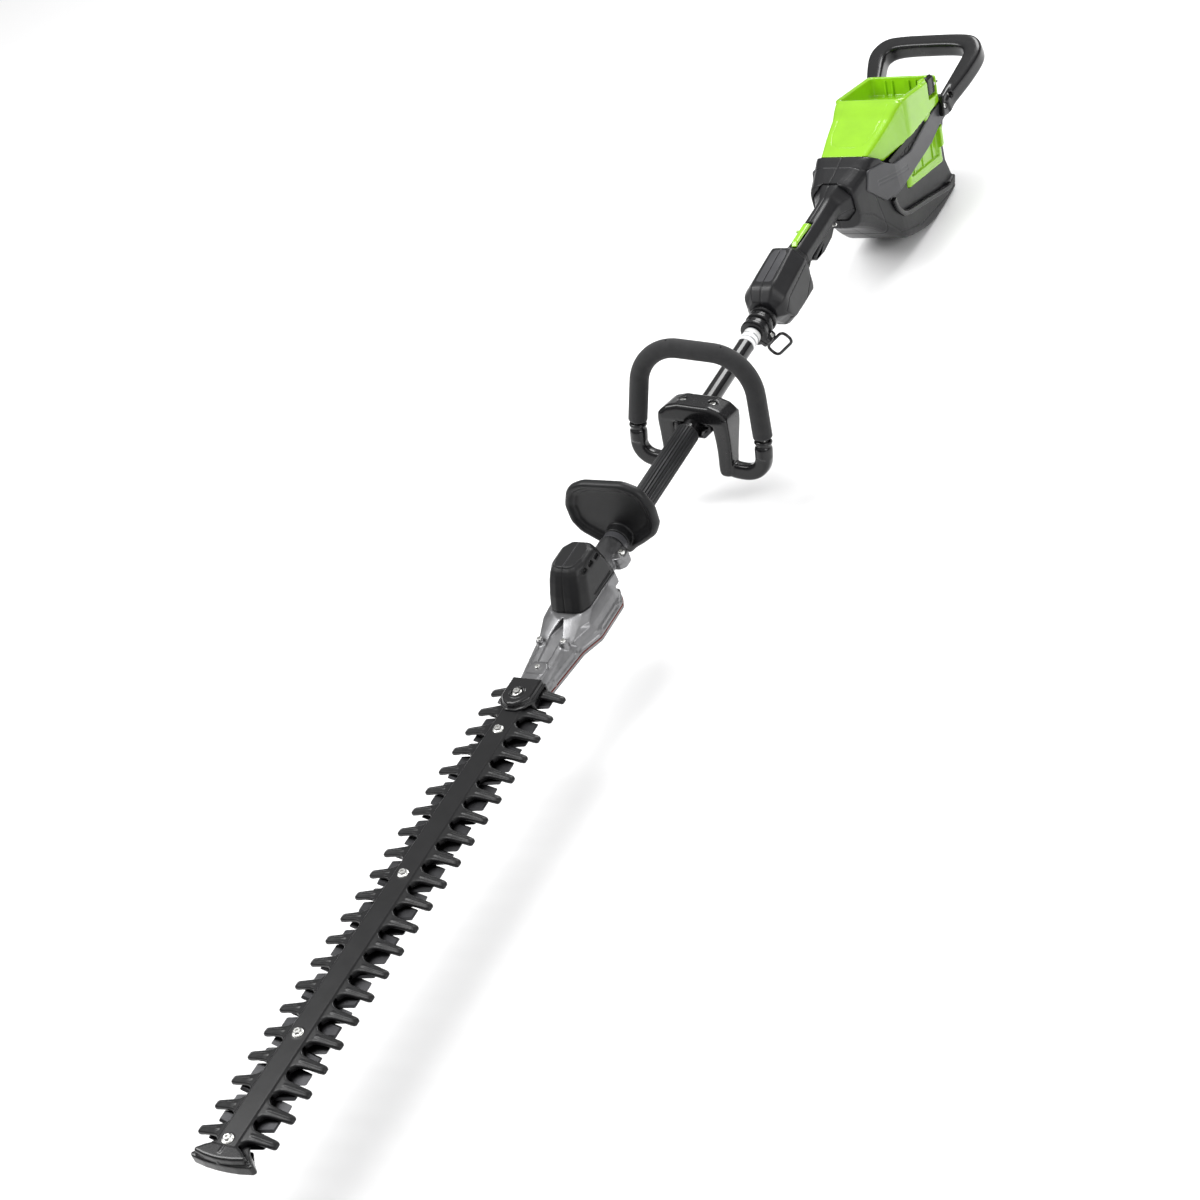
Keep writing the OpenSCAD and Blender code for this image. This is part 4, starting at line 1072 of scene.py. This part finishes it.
def drawn_in(x):
    """How far the housing's side has come in from its full width, at a place along the pole."""
    line = [(-1125, 0), (-1112, 0.6), (-1090, 4.6), (-1069, 8.6), (-1052, 11.6), (-1035, 14.4)]
    for (x0, d0), (x1, d1) in zip(line, line[1:]):
        if x0 < x <= x1:
            return d0 + (d1 - d0) * (x - x0) / (x1 - x0)
    return 0 if x <= line[0][0] else line[-1][1]


def make_bands():
    """The grey band on each side, with two plain grooves, bent to the housing's side."""
    outline = shrunk(rounded(BAND_SIDE, [5, 5, 6, 12, 40, 12, 4, 4, 8, 10, 8]), 0.9)
    for side, word in SIDES:
        band = side_slab(outline, side, 54, 58.2, 1.3)
        grooves = []
        for z in (9, 3):
            groove = [(-1066, z), (-1150, z - 26), (-1150, z - 22.5), (-1066, z + 3.5)]
            grooves.append(side_slab(rounded(groove, 0.8), side, 57.6, 60))
        cut(band, grooves)
        applied(band, "REMESH", mode="VOXEL", voxel_size=0.9)
        for vertex in band.data.vertices:
            vertex.co.y -= side * drawn_in(vertex.co.x)
        place(band, "side_band_" + word + "_cover", "side_band_" + word)


def make_rails():
    """Glossy rail along the shelf under each window."""
    line = [(-1090, -36), (-1094, -54), (-1104, -69), (-1120, -80), (-1190, -104), (-1262, -129),
            (-1276, -129)]
    section = rounded(rectangle(-4, 4, 3.5), 2.5)
    rails = []
    for side in (-1, 1):
        path = smooth_path([(x, side * 53.5, z) for x, z in line], 5)
        rails.append(sweep(path, section, up=(0, 1, 0)))
    place(joined(rails), "shelf_rails", material="black_plastic", body="frame")


make_housing()
make_bands()
make_rails()


# ---------------------------------------------------------------- rear bail
BAIL_SCREWS = [(x, z, side) for x, z in ((-1318, 4), (-1300, -4)) for side in (-1, 1)]


def make_bail():
    """Soft-cornered bail: its legs swell from the feet to the bar."""
    lean = math.radians(15.5)
    half = [(-4, 62), (14, 63.5), (36, 68.5), (62, 75), (92, 80.5), (108, 78), (119.5, 68), (124.5, 50),
            (126, 24)]
    widths = [0.62, 0.68, 0.86, 1.0, 1.08, 1.14, 1.16, 1.04, 1.0]
    line = [(d, y, w) for (d, y), w in zip(half, widths)] + [(126, 0, 1.0)]
    line = line + [(d, -y, w) for d, y, w in reversed(line[:-1])]
    path, scales = [], []
    for d, y, w in smooth_path(line, 6):
        path.append((-1310 - d * math.cos(lean), y, -8 + d * math.sin(lean)))
        scales.append((w, 0.84 + 0.16 * w))
    section = rounded(rectangle(-13, 13, 14.5), 7.5, 6)
    bar = sweep(path, section, up=(math.sin(lean), 0, math.cos(lean)), scales=scales)
    foot = rounded([(-1286, -16), (-1306, -23), (-1340, -14), (-1340, 14), (-1300, 12)], 5)
    feet = side_prism(foot, 57.9, 67, 2)
    holes = [side_slab(circle_at(x, z, 4.8, 24), side, 64, 90) for x, z, side in BAIL_SCREWS]
    bail = moulded([bar] + feet, holes, 1.1, 14)
    place(bail, "bail_grip", "bail_handle", crisp=60)
    screws = []
    for x, z, side in BAIL_SCREWS:
        outward = Matrix.Rotation(-side * math.pi / 2, 4, "X")
        screw = socket_screw(4.2, 2.4, 2.1, 2, 6.2)
        screws.append(turned(screw, Matrix.Translation((x, side * 64, z)) @ outward))
    place(joined(screws), "bail_cap_screws", "bail_screws")


make_bail()


# ---------------------------------------------------------------- motor cover
def plan_ring(front, back, half, nose):
    """Outline of the motor cover from above: blunt front corners and a narrower back."""
    half_side = [(back, half * 0.55), (back + 12, half), (front - 17, half), (front - 4, half * 0.78),
                 (front, nose)]
    return rounded(mirrored(half_side), [6, 8, 14, 7, 7, 7, 7, 14, 8, 6], 5)


def make_motor_cover():
    """Tapered cover in two halves, with raised top panels, slanted vents and a long slot."""
    levels = [(4.2, -91, -187, 29.2, 12), (8, -91.6, -187, 29.2, 12), (24, -98, -184, 28.4, 11),
              (40, -106, -178.5, 27, 10), (48, -111, -175.5, 25.6, 10), (52.5, -114.5, -173.5, 23.8, 9.5),
              (55, -117.5, -171.6, 21.4, 9), (56.4, -120.5, -169.6, 18.6, 8.5), (56.9, -124, -166.5, 15.5, 8)]
    body = stacked([(z, plan_ring(front, back, half, nose)) for z, front, back, half, nose in levels], "z")
    panel = prism(plan_ring(-119, -169, 18.5, 8.5), 50, 57.5, "z", 0.8)
    cutters = [lathe([(-240, 19), (-168, 19)])]
    slot = rounded([(-170, 8.2), (-124, 8.2), (-122, 12), (-170, 12)], 1.5)
    for side in (-1, 1):
        for i in range(3):
            x = -158.5 + 16 * i
            vent = [(x - 6, 41.5 + i), (x + 4.5, 41.5 + i), (x + 6.5, 47.5 + i), (x - 4, 47.5 + i)]
            cutters.append(side_slab(rounded(vent, 1), side, 22, 40))
        cutters.append(side_slab(slot, side, 27.2, 40))
    cover = moulded([body, panel], cutters, 0.9, 3)
    pressed(cover, off_middle, 0.8, 0.7)
    place_halves(cover, "motor_hood", "motor_cover")
    # The lighter grey panels on the cover's top are partly the panels' own satin grey and partly a painted
    # sheen, standing in for the overhead light reflected off the top faces.
    for side, word in SIDES:
        loop = sorted([(x, y) for x, y in plan_ring(-121, -167.5, 16.5, 8) if side * y > 0],
                      key=lambda p: p[0])
        outline = [(loop[0][0], side * 0.7)] + loop + [(loop[-1][0], side * 0.7)]
        if side > 0:
            outline = outline[::-1]
        place(prism(outline, 56.6, 57.4, "z", 0.3), "motor_hood_panel_" + word, material="band_plastic",
              body="frame")
    # A near-black block inside the cover is painted shade: it fills the dark behind the vents and the slot
    # and hides what lies inside.
    dark = prism(plan_ring(-120, -172, 23, 8), 10, 46, "z", 1)
    place(dark, "motor_cover_vent_shade", material="switch_plastic", body="frame")


make_motor_cover()


# ---------------------------------------------------------------- gearbox
CASE_HALF = [(-182, 14), (-166, 36), (-152, 44), (-88, 44), (-58, 32), (22, 23)]
CASE_PLAN = rounded(mirrored(CASE_HALF), [6, 10, 12, 14, 14, 4, 4, 14, 14, 12, 10, 6], 6)
SEAM = -29
CASE_SCREWS = [(x, side * y * 0.965) for x, y in
               ((-168, 29), (-145, 39.5), (-95, 39.5), (-48, 26.5), (6, 20.5)) for side in (-1, 1)]
SPOUT_SCREWS = [(-46, 17.5), (-46, -17.5)]


def dome_layer(front, scale):
    """The case's outline narrowed by a scale, its front drawn back to a bowed line."""
    points = []
    for (x0, y0), (x1, y1) in zip(CASE_PLAN, CASE_PLAN[1:] + CASE_PLAN[:1]):
        count = 6 if abs(y1 - y0) > 20 and min(x0, x1) > 0 else 1
        points += [(x0 + (x1 - x0) * i / count, y0 + (y1 - y0) * i / count) for i in range(count)]
    return [(min(x, front + 5 - 12 * (y / 28) ** 2), y * scale) for x, y in points]


def make_case():
    """Casting: stepped flange, crowned body round the motor, and a spout with a trough and bosses."""
    flange = prism(CASE_PLAN, SEAM, -24.4, "z", 0.7)
    step = prism(shrunk(CASE_PLAN, 2.2), -26, -19, "z", 1.2)
    crown = stacked([(z, dome_layer(front, scale)) for z, front, scale in
                     ((-24, 60, 0.95), (-17, 60, 0.9), (-9, -46, 0.84), (-3, -63, 0.78), (1.5, -76, 0.73),
                      (4.1, -84, 0.68))], "z")
    rim = stacked([(z, plan_ring(front, -188, half, 13)) for z, front, half in
                   ((-12, -84, 32.5), (0, -86.5, 31.5), (3.4, -88, 31), (4.1, -89, 30.2))], "z")
    spout = soft_box([(-98, -26, 0.5, 34, 30, 3, 18), (-76, -26, -2, 31, 26, 3, 14),
                      (-58, -26, -5, 28, 21, 3, 9), (-30, -26, -8.5, 25, 17.5, 3, 6),
                      (0, -26, -11.4, 22.6, 16.5, 3, 5),
                      (22, -26, -12.6, 21, 15.5, 3, 5)], 3)
    pad_plan = [(-14, -9), (-4, -14.5), (30, -14.5), (30, 14.5), (-4, 14.5), (-14, 9)]
    pad = prism(rounded(pad_plan, 8), -14, -7.6, "z", 1.4)
    tongue = prism(rectangle(10, 62, 12), -13, -6, "z", 1)
    socket = lathe([(-228, 16.5), (-227, 18.2), (-205, 18.5), (-186, 19.5), (-165, 22)], steps=64)
    lug_plan = [(-224, 10), (-196, 10), (-196, 24), (-203, 31), (-217, 31), (-224, 24)]
    lug = prism(rounded(lug_plan, 5), -12, 6, "z", 1.6)
    parts = [flange, step, crown, rim, spout, pad, tongue, socket, lug]
    parts += [upright([(-20, 6.5), (-4.5, 5.6), (-1.5, 5), (-1, 4.2)], x, y, 32) for x, y in SPOUT_SCREWS]
    parts += [upright([(SEAM, 5.4), (-22, 5.2), (-21, 4.4)], x, y, 28) for x, y in CASE_SCREWS]
    trough = [(-86, 0), (-58, -9.5), (-15, -7.5), (-15, 7.5), (-58, 9.5)]
    cutters = [lathe([(-240, POLE_R), (-184, POLE_R)]), prism(oblong(-230, -190, 11, 40), -3.8, -1.8)]
    sunk = prism(rounded(trough, 2), -16, 20)
    # The trough's floor falls towards the nose
    for vertex in sunk.data.vertices:
        if vertex.co.z < 0:
            vertex.co.z = -2.8 - 0.105 * (vertex.co.x + 84) - 2.4
    cutters.append(sunk)
    for side in (-1, 1):
        groove = [(-62, side * 17), (-16, side * 14), (-16, side * 10.6), (-62, side * 13)]
        if side < 0:
            groove = groove[::-1]
        lean = Matrix.Translation((0, 0, -6.2)) @ Matrix.Rotation(math.radians(5), 4, "Y")
        cutters.append(turned(prism(rounded(groove, 1), 0, 12), lean))
    case = moulded(parts, cutters, 1.0, 4, fuse=True)
    place(case, "case_casting", "gearbox_case", crisp=60)
    plate = prism(shrunk(CASE_PLAN, 0.1), -34.5, SEAM - 0.6, "z", 1)
    cutters = [prism(circle_at(x, y, 3.6, 20), -36, -33) for x, y in CASE_SCREWS]
    place(cut(plate, cutters), "case_cover_plate", "gearbox_cover")
    paper = prism(shrunk(CASE_PLAN, -0.25), SEAM - 0.7, SEAM + 0.1)
    place(paper, "case_gasket", "gearbox_gasket")


def make_case_screws():
    """Cover screws from below, two through the spout, one in the pad, and the socket's clamp screw."""
    flip = Matrix.Rotation(math.pi, 4, "X")
    screws = [turned(socket_screw(3.4, 2.4, 1.7, 2, 9), Matrix.Translation((x, y, -33)) @ flip)
              for x, y in CASE_SCREWS]
    place(joined(screws), "case_cover_screws", "cover_screws")
    tops = [moved(socket_screw(3.5, 2.6, 1.7, 2, 8), x, y, z)
            for x, y, z in [(x, y, -1.4) for x, y in SPOUT_SCREWS] + [(-3, 0, -7.7)]]
    place(joined(tops), "case_top_screws", material="zinc_steel", body="frame")
    clamp = moved(socket_screw(4.4, 4.4, 2.2, 2.6, 21), -210, 25, 6)
    place(clamp, "socket_clamp_screw", "tube_clamp_screw")


make_case()
make_case_screws()


# ---------------------------------------------------------------- guard comb
PITCH, FINGERS = 35, 21
BOLTS = [107.5, 352.5, 597.5, 747.5]
NOSE_BOLT = 50
UPPER_Z, BLADE_T = -25, 2.6
LOWER_Z = UPPER_Z - 0.3 - BLADE_T
COMB_END = 762
WEB, STROKE = 17, 22
GEAR_X = -105.625
# From one tooth to the next, in fingers
TOOTH_STEP = 1.275
FIRST_TOOTH = 42


def finger(x, side):
    """One finger: it flares into the comb at its root, droops and ends in a round tip."""
    # Distance from the middle, half width, top, bottom
    rows = [(14.4, 16.6, -12.6, -20.8), (16.5, 13.4, -12.9, -21), (19, 10.4, -13.2, -20.8),
            (22, 8.4, -13.8, -19.6), (27, 7.2, -14.6, -19.8), (36, 6.4, -16.9, -21.6), (45, 5.8, -19, -24.6),
            (50, 5.4, -20.2, -25.9), (52.6, 4.5, -21.2, -26), (54, 2.6, -22.6, -25.4)]
    layers = []
    for y, w, high, low in smooth_path(rows, 2):
        r = min(w, high - low) * 0.42
        layers.append((side * y, rounded(oblong(x - w, x + w, low, high), [r * 0.5, r * 0.5, r, r], 3)))
    crest = []
    for y, w, high, low in smooth_path(rows[3:-2], 2):
        ridge = [(x - 1.7, low + 1), (x + 1.7, low + 1), (x + 1.3, high + 0.7), (x - 1.3, high + 0.7)]
        crest.append((side * y, rounded(ridge, 0.4)))
    return joined([stacked(layers, "y"), stacked(crest, "y")])


def make_comb():
    """Comb: a flat spine over the bolts with a ledge along each edge, and drooping fingers."""
    spine = prism(rounded(rectangle(COMB_START, COMB_END, 13.4), 1.5), -14.4, -11, "z", 0.5)
    parts = [spine] + [finger(i * PITCH, side) for i in range(1, FINGERS + 1) for side in (-1, 1)]
    ledges = [rounded(oblong(COMB_START, COMB_END, side * 10, side * 15.4)[::side], 0.8) for side in (-1, 1)]
    parts += [prism(ledge, -14.8, -12.6, "z", 0.6) for ledge in ledges]
    shoulders = [oblong(COMB_START, 36, side * 11, side * 17)[::side] for side in (-1, 1)]
    parts += [prism(shoulder, -21, -11.4, "z", 0.6) for shoulder in shoulders]
    parts += [upright([(-13, 8.2), (-11, 8), (-10.7, 7.4)], x, 0, 40) for x in [NOSE_BOLT] + BOLTS]
    comb = moulded(parts, (), 0.95, 2)
    place(comb, "comb_casting", "guard_comb", crisp=60)


def tooth(x, up):
    """A pair of teeth with ground flanks: the cutting edge is the wide side."""

    def ring(dx, dy):
        half = [(-15 + dx, 8), (-13 + dx, 14), (-8.2 + dx, 36.8 - dy), (-7.4 + dx, 38 - dy),
                (7.4 - dx, 38 - dy), (8.2 - dx, 36.8 - dy), (13 - dx, 14), (15 - dx, 8)]
        return [(x + px, py) for px, py in mirrored(half)]

    wide, narrow = ring(0, 0), ring(2.6, 1)
    if up:
        return stacked([(0, wide), (0.7, wide), (BLADE_T, narrow)], "z")
    return stacked([(0, narrow), (BLADE_T - 0.7, wide), (BLADE_T, wide)], "z")


def make_blade(name, node, z, first, yoke, slot, up):
    """One cutting blade: shank with slots for the bushes, crank opening and ground teeth."""
    shank = prism(rectangle(GEAR_X, 730, 12), 0, BLADE_T)
    yoke_end = yoke + 2 * WEB + STROKE
    yoke_frame = prism(rounded(rectangle(yoke - 6, yoke_end + 6, WEB + 7), 6), 0, BLADE_T)
    teeth = [tooth(first + i * PITCH * TOOTH_STEP, up) for i in range(16)]
    blade = united([shank, yoke_frame] + teeth)
    # Each slot is as long as the stroke and a bush; the crank's opening leaves the crank room
    holes = [rectangle(yoke - 0.4, yoke_end + 0.4, WEB + 0.8)]
    holes += [rounded(rectangle(x + slot - 5.4, x + slot + STROKE + 5.4, 5.4), 5)
              for x in [NOSE_BOLT] + BOLTS]
    cut(blade, [prism(hole, -1, BLADE_T + 1) for hole in holes])
    place(moved(blade, 0, 0, z), name, node, crisp=15)


def hex_bolt(x, seat, height, length):
    """Flanged hex bolt with a domed head, its flange on the seat."""
    flange = lathe([(0, 2.8), (0, 6.2), (0.7, 6.3), (1.3, 5.4)], along="z", steps=40)
    head = lathe([(0.6, 4.7), (height - 0.7, 4.7), (height, 3.9)], along="z", steps=6)
    shank = lathe([(-length, 2.4), (-length + 0.6, 3), (0.5, 3)], along="z", steps=24)
    drive = lathe([(height - 1.6, 2), (height + 1, 2)], along="z", steps=6)
    return moved(cut(joined([flange, head, shank]), [drive]), x, 0, seat)


def make_fasteners():
    bolts = [hex_bolt(x, -9.8, 4.2, 28) for x in BOLTS] + [hex_bolt(NOSE_BOLT, -1.8, 4.6, 36)]
    place(joined(bolts), "comb_bolts", "blade_bolts")
    washer = [(-11, 3), (-11, 6.8), (-10.7, 7), (-10, 7), (-9.8, 6.8), (-9.8, 3)]
    washers = [upright(washer, x, 0, 40) for x in BOLTS]
    place(joined(washers), "comb_washers", "blade_washers")


def make_nose_cap():
    """Cap over the case's tongue, with a boss round the bolt."""
    skirt = rounded(mirrored([(21.6, 25), (58, 25), (69, 17), (75, 7)]), [2, 9, 8, 6, 6, 8, 9, 2])
    crown = rounded(mirrored([(21.6, 21.5), (56, 21.5), (66, 14), (72, 5)]), [2, 9, 8, 5, 5, 8, 9, 2])
    low = prism(skirt, -22, -8.6, "z", 2)
    high = prism(crown, -12, -1.2, "z", 5)
    boss = upright([(-10, 11.4), (-2, 10.8), (0.2, 10), (1, 9)], NOSE_BOLT, 0, 40)
    hollow = [prism(rectangle(10, 63, 13), -30, -5.6), prism(rectangle(10, 80, 19.4), -30, -10.6),
              upright([(-2.2, 7.4), (10, 7.4)], NOSE_BOLT, 0, 32),
              upright([(-20, 3.1), (10, 3.1)], NOSE_BOLT, 0, 24)]
    # Gaps for the first two pairs of fingers
    hollow += [prism(oblong(x - 9, x + 9, side * 17, side * 40)[::side], -30, -10.6)
               for x in (PITCH, 2 * PITCH) for side in (-1, 1)]
    cap = moulded([low, high, boss], hollow, 0.8, 3, fuse=True)
    place(cap, "nose_cover", "nose_cap", crisp=60)


def make_tip_guard():
    """Guard at the tip: a broad base, a smaller deck on it and a rib along the middle."""
    lower = mirrored([(745, 24), (757, 33), (767, 43), (771, 40), (774, 22), (775, 6)])
    upper = mirrored([(753, 17), (758, 26), (765, 35), (769, 33), (772, 19), (773.4, 5)])
    ridge = [(753, -16), (774, -24), (774.4, -17.5), (765, -9.7), (753, -9.7)]
    base = prism(rounded(lower, [1, 2, 2, 3, 8, 4, 4, 8, 3, 2, 2, 1], 3), -33, -19.5, "z", 1.6)
    deck = prism(rounded(upper, [1, 3, 3, 3, 6, 4, 4, 6, 3, 3, 3, 1], 3), -22, -10.6, "z", 2.4)
    rib = prism(rounded(ridge, 1.5), -1.6, 1.6, "y", 0.6)
    # Room for the blades, which reach into the guard at the end of their stroke
    hollow = [prism(rectangle(700, 756, 40), LOWER_Z - 1, UPPER_Z + BLADE_T + 1)]
    tip = moulded([base, deck, rib], hollow, 0.8, 2, fuse=True)
    place(tip, "tip_plough", "tip_guard", crisp=60)


make_comb()
make_blade("blade_upper", "upper_blade", UPPER_Z, FIRST_TOOTH, GEAR_X - WEB - STROKE, -STROKE, True)
make_blade("blade_lower", "lower_blade", LOWER_Z, FIRST_TOOTH + PITCH * TOOTH_STEP / 2,
           GEAR_X - WEB, 0, False)
make_fasteners()
make_nose_cap()
make_tip_guard()


# ---------------------------------------------------------------- stage and lights
def make_stage():
    """A pale floor under the tool."""
    half_size = 14
    floor = raw([(x, y, 0) for x, y in rectangle(-half_size, half_size, half_size)], [(0, 1, 2, 3)])
    floor.name = "floor"
    floor.location.z = cad_box[0][2]
    material, nodes, links, shader, where = tree_of("floor")
    greys = ((0.87, 0.87, 0.87), (0.9, 0.9, 0.9))
    tone = ramp(nodes, links, noise(nodes, links, where, 1.2), 0.3, 0.7, greys)
    links.new(tone, shader.inputs["Base Color"])
    shader.inputs["Roughness"].default_value = 0.9
    floor.data.materials.append(material)


def make_light(name, at, aim, power, size, tint=(1, 1, 1)):
    data = bpy.data.lights.new(name, "AREA")
    data.energy = power
    data.shape = "RECTANGLE"
    data.size, data.size_y = size
    data.color = tint
    light = bpy.data.objects.new(name, data)
    bpy.context.scene.collection.objects.link(light)
    light.location = at
    light.rotation_euler = (Vector(aim) - Vector(at)).to_track_quat("-Z", "Y").to_euler()


def make_world():
    """A studio that is bright overhead and dimmer towards the walls."""
    world = bpy.data.worlds.new("studio")
    world.use_nodes = True
    nodes, links = world.node_tree.nodes, world.node_tree.links
    where = nodes.new("ShaderNodeTexCoord").outputs["Generated"]
    apart = nodes.new("ShaderNodeSeparateXYZ")
    links.new(where, apart.inputs["Vector"])
    tone = ramp(nodes, links, apart.outputs["Z"], 0.1, 0.95, ((0.16, 0.16, 0.165), (1, 1, 1)))
    links.new(tone, nodes["Background"].inputs["Color"])
    nodes["Background"].inputs["Strength"].default_value = 0.9
    bpy.context.scene.world = world
    bpy.context.scene.view_settings.view_transform = "Standard"


make_stage()
make_world()
make_light("key_light", (0.4, -1.4, 2.6), (0, 0, 0.1), 78, (1.0, 2.4))
make_light("fill_light", (0.6, 2.6, 1.6), (0, 0, 0.1), 36, (2.2, 0.9))
make_light("back_light", (-2.6, 0.2, 2.0), (-0.4, 0, 0.1), 52, (1.6, 1.0))
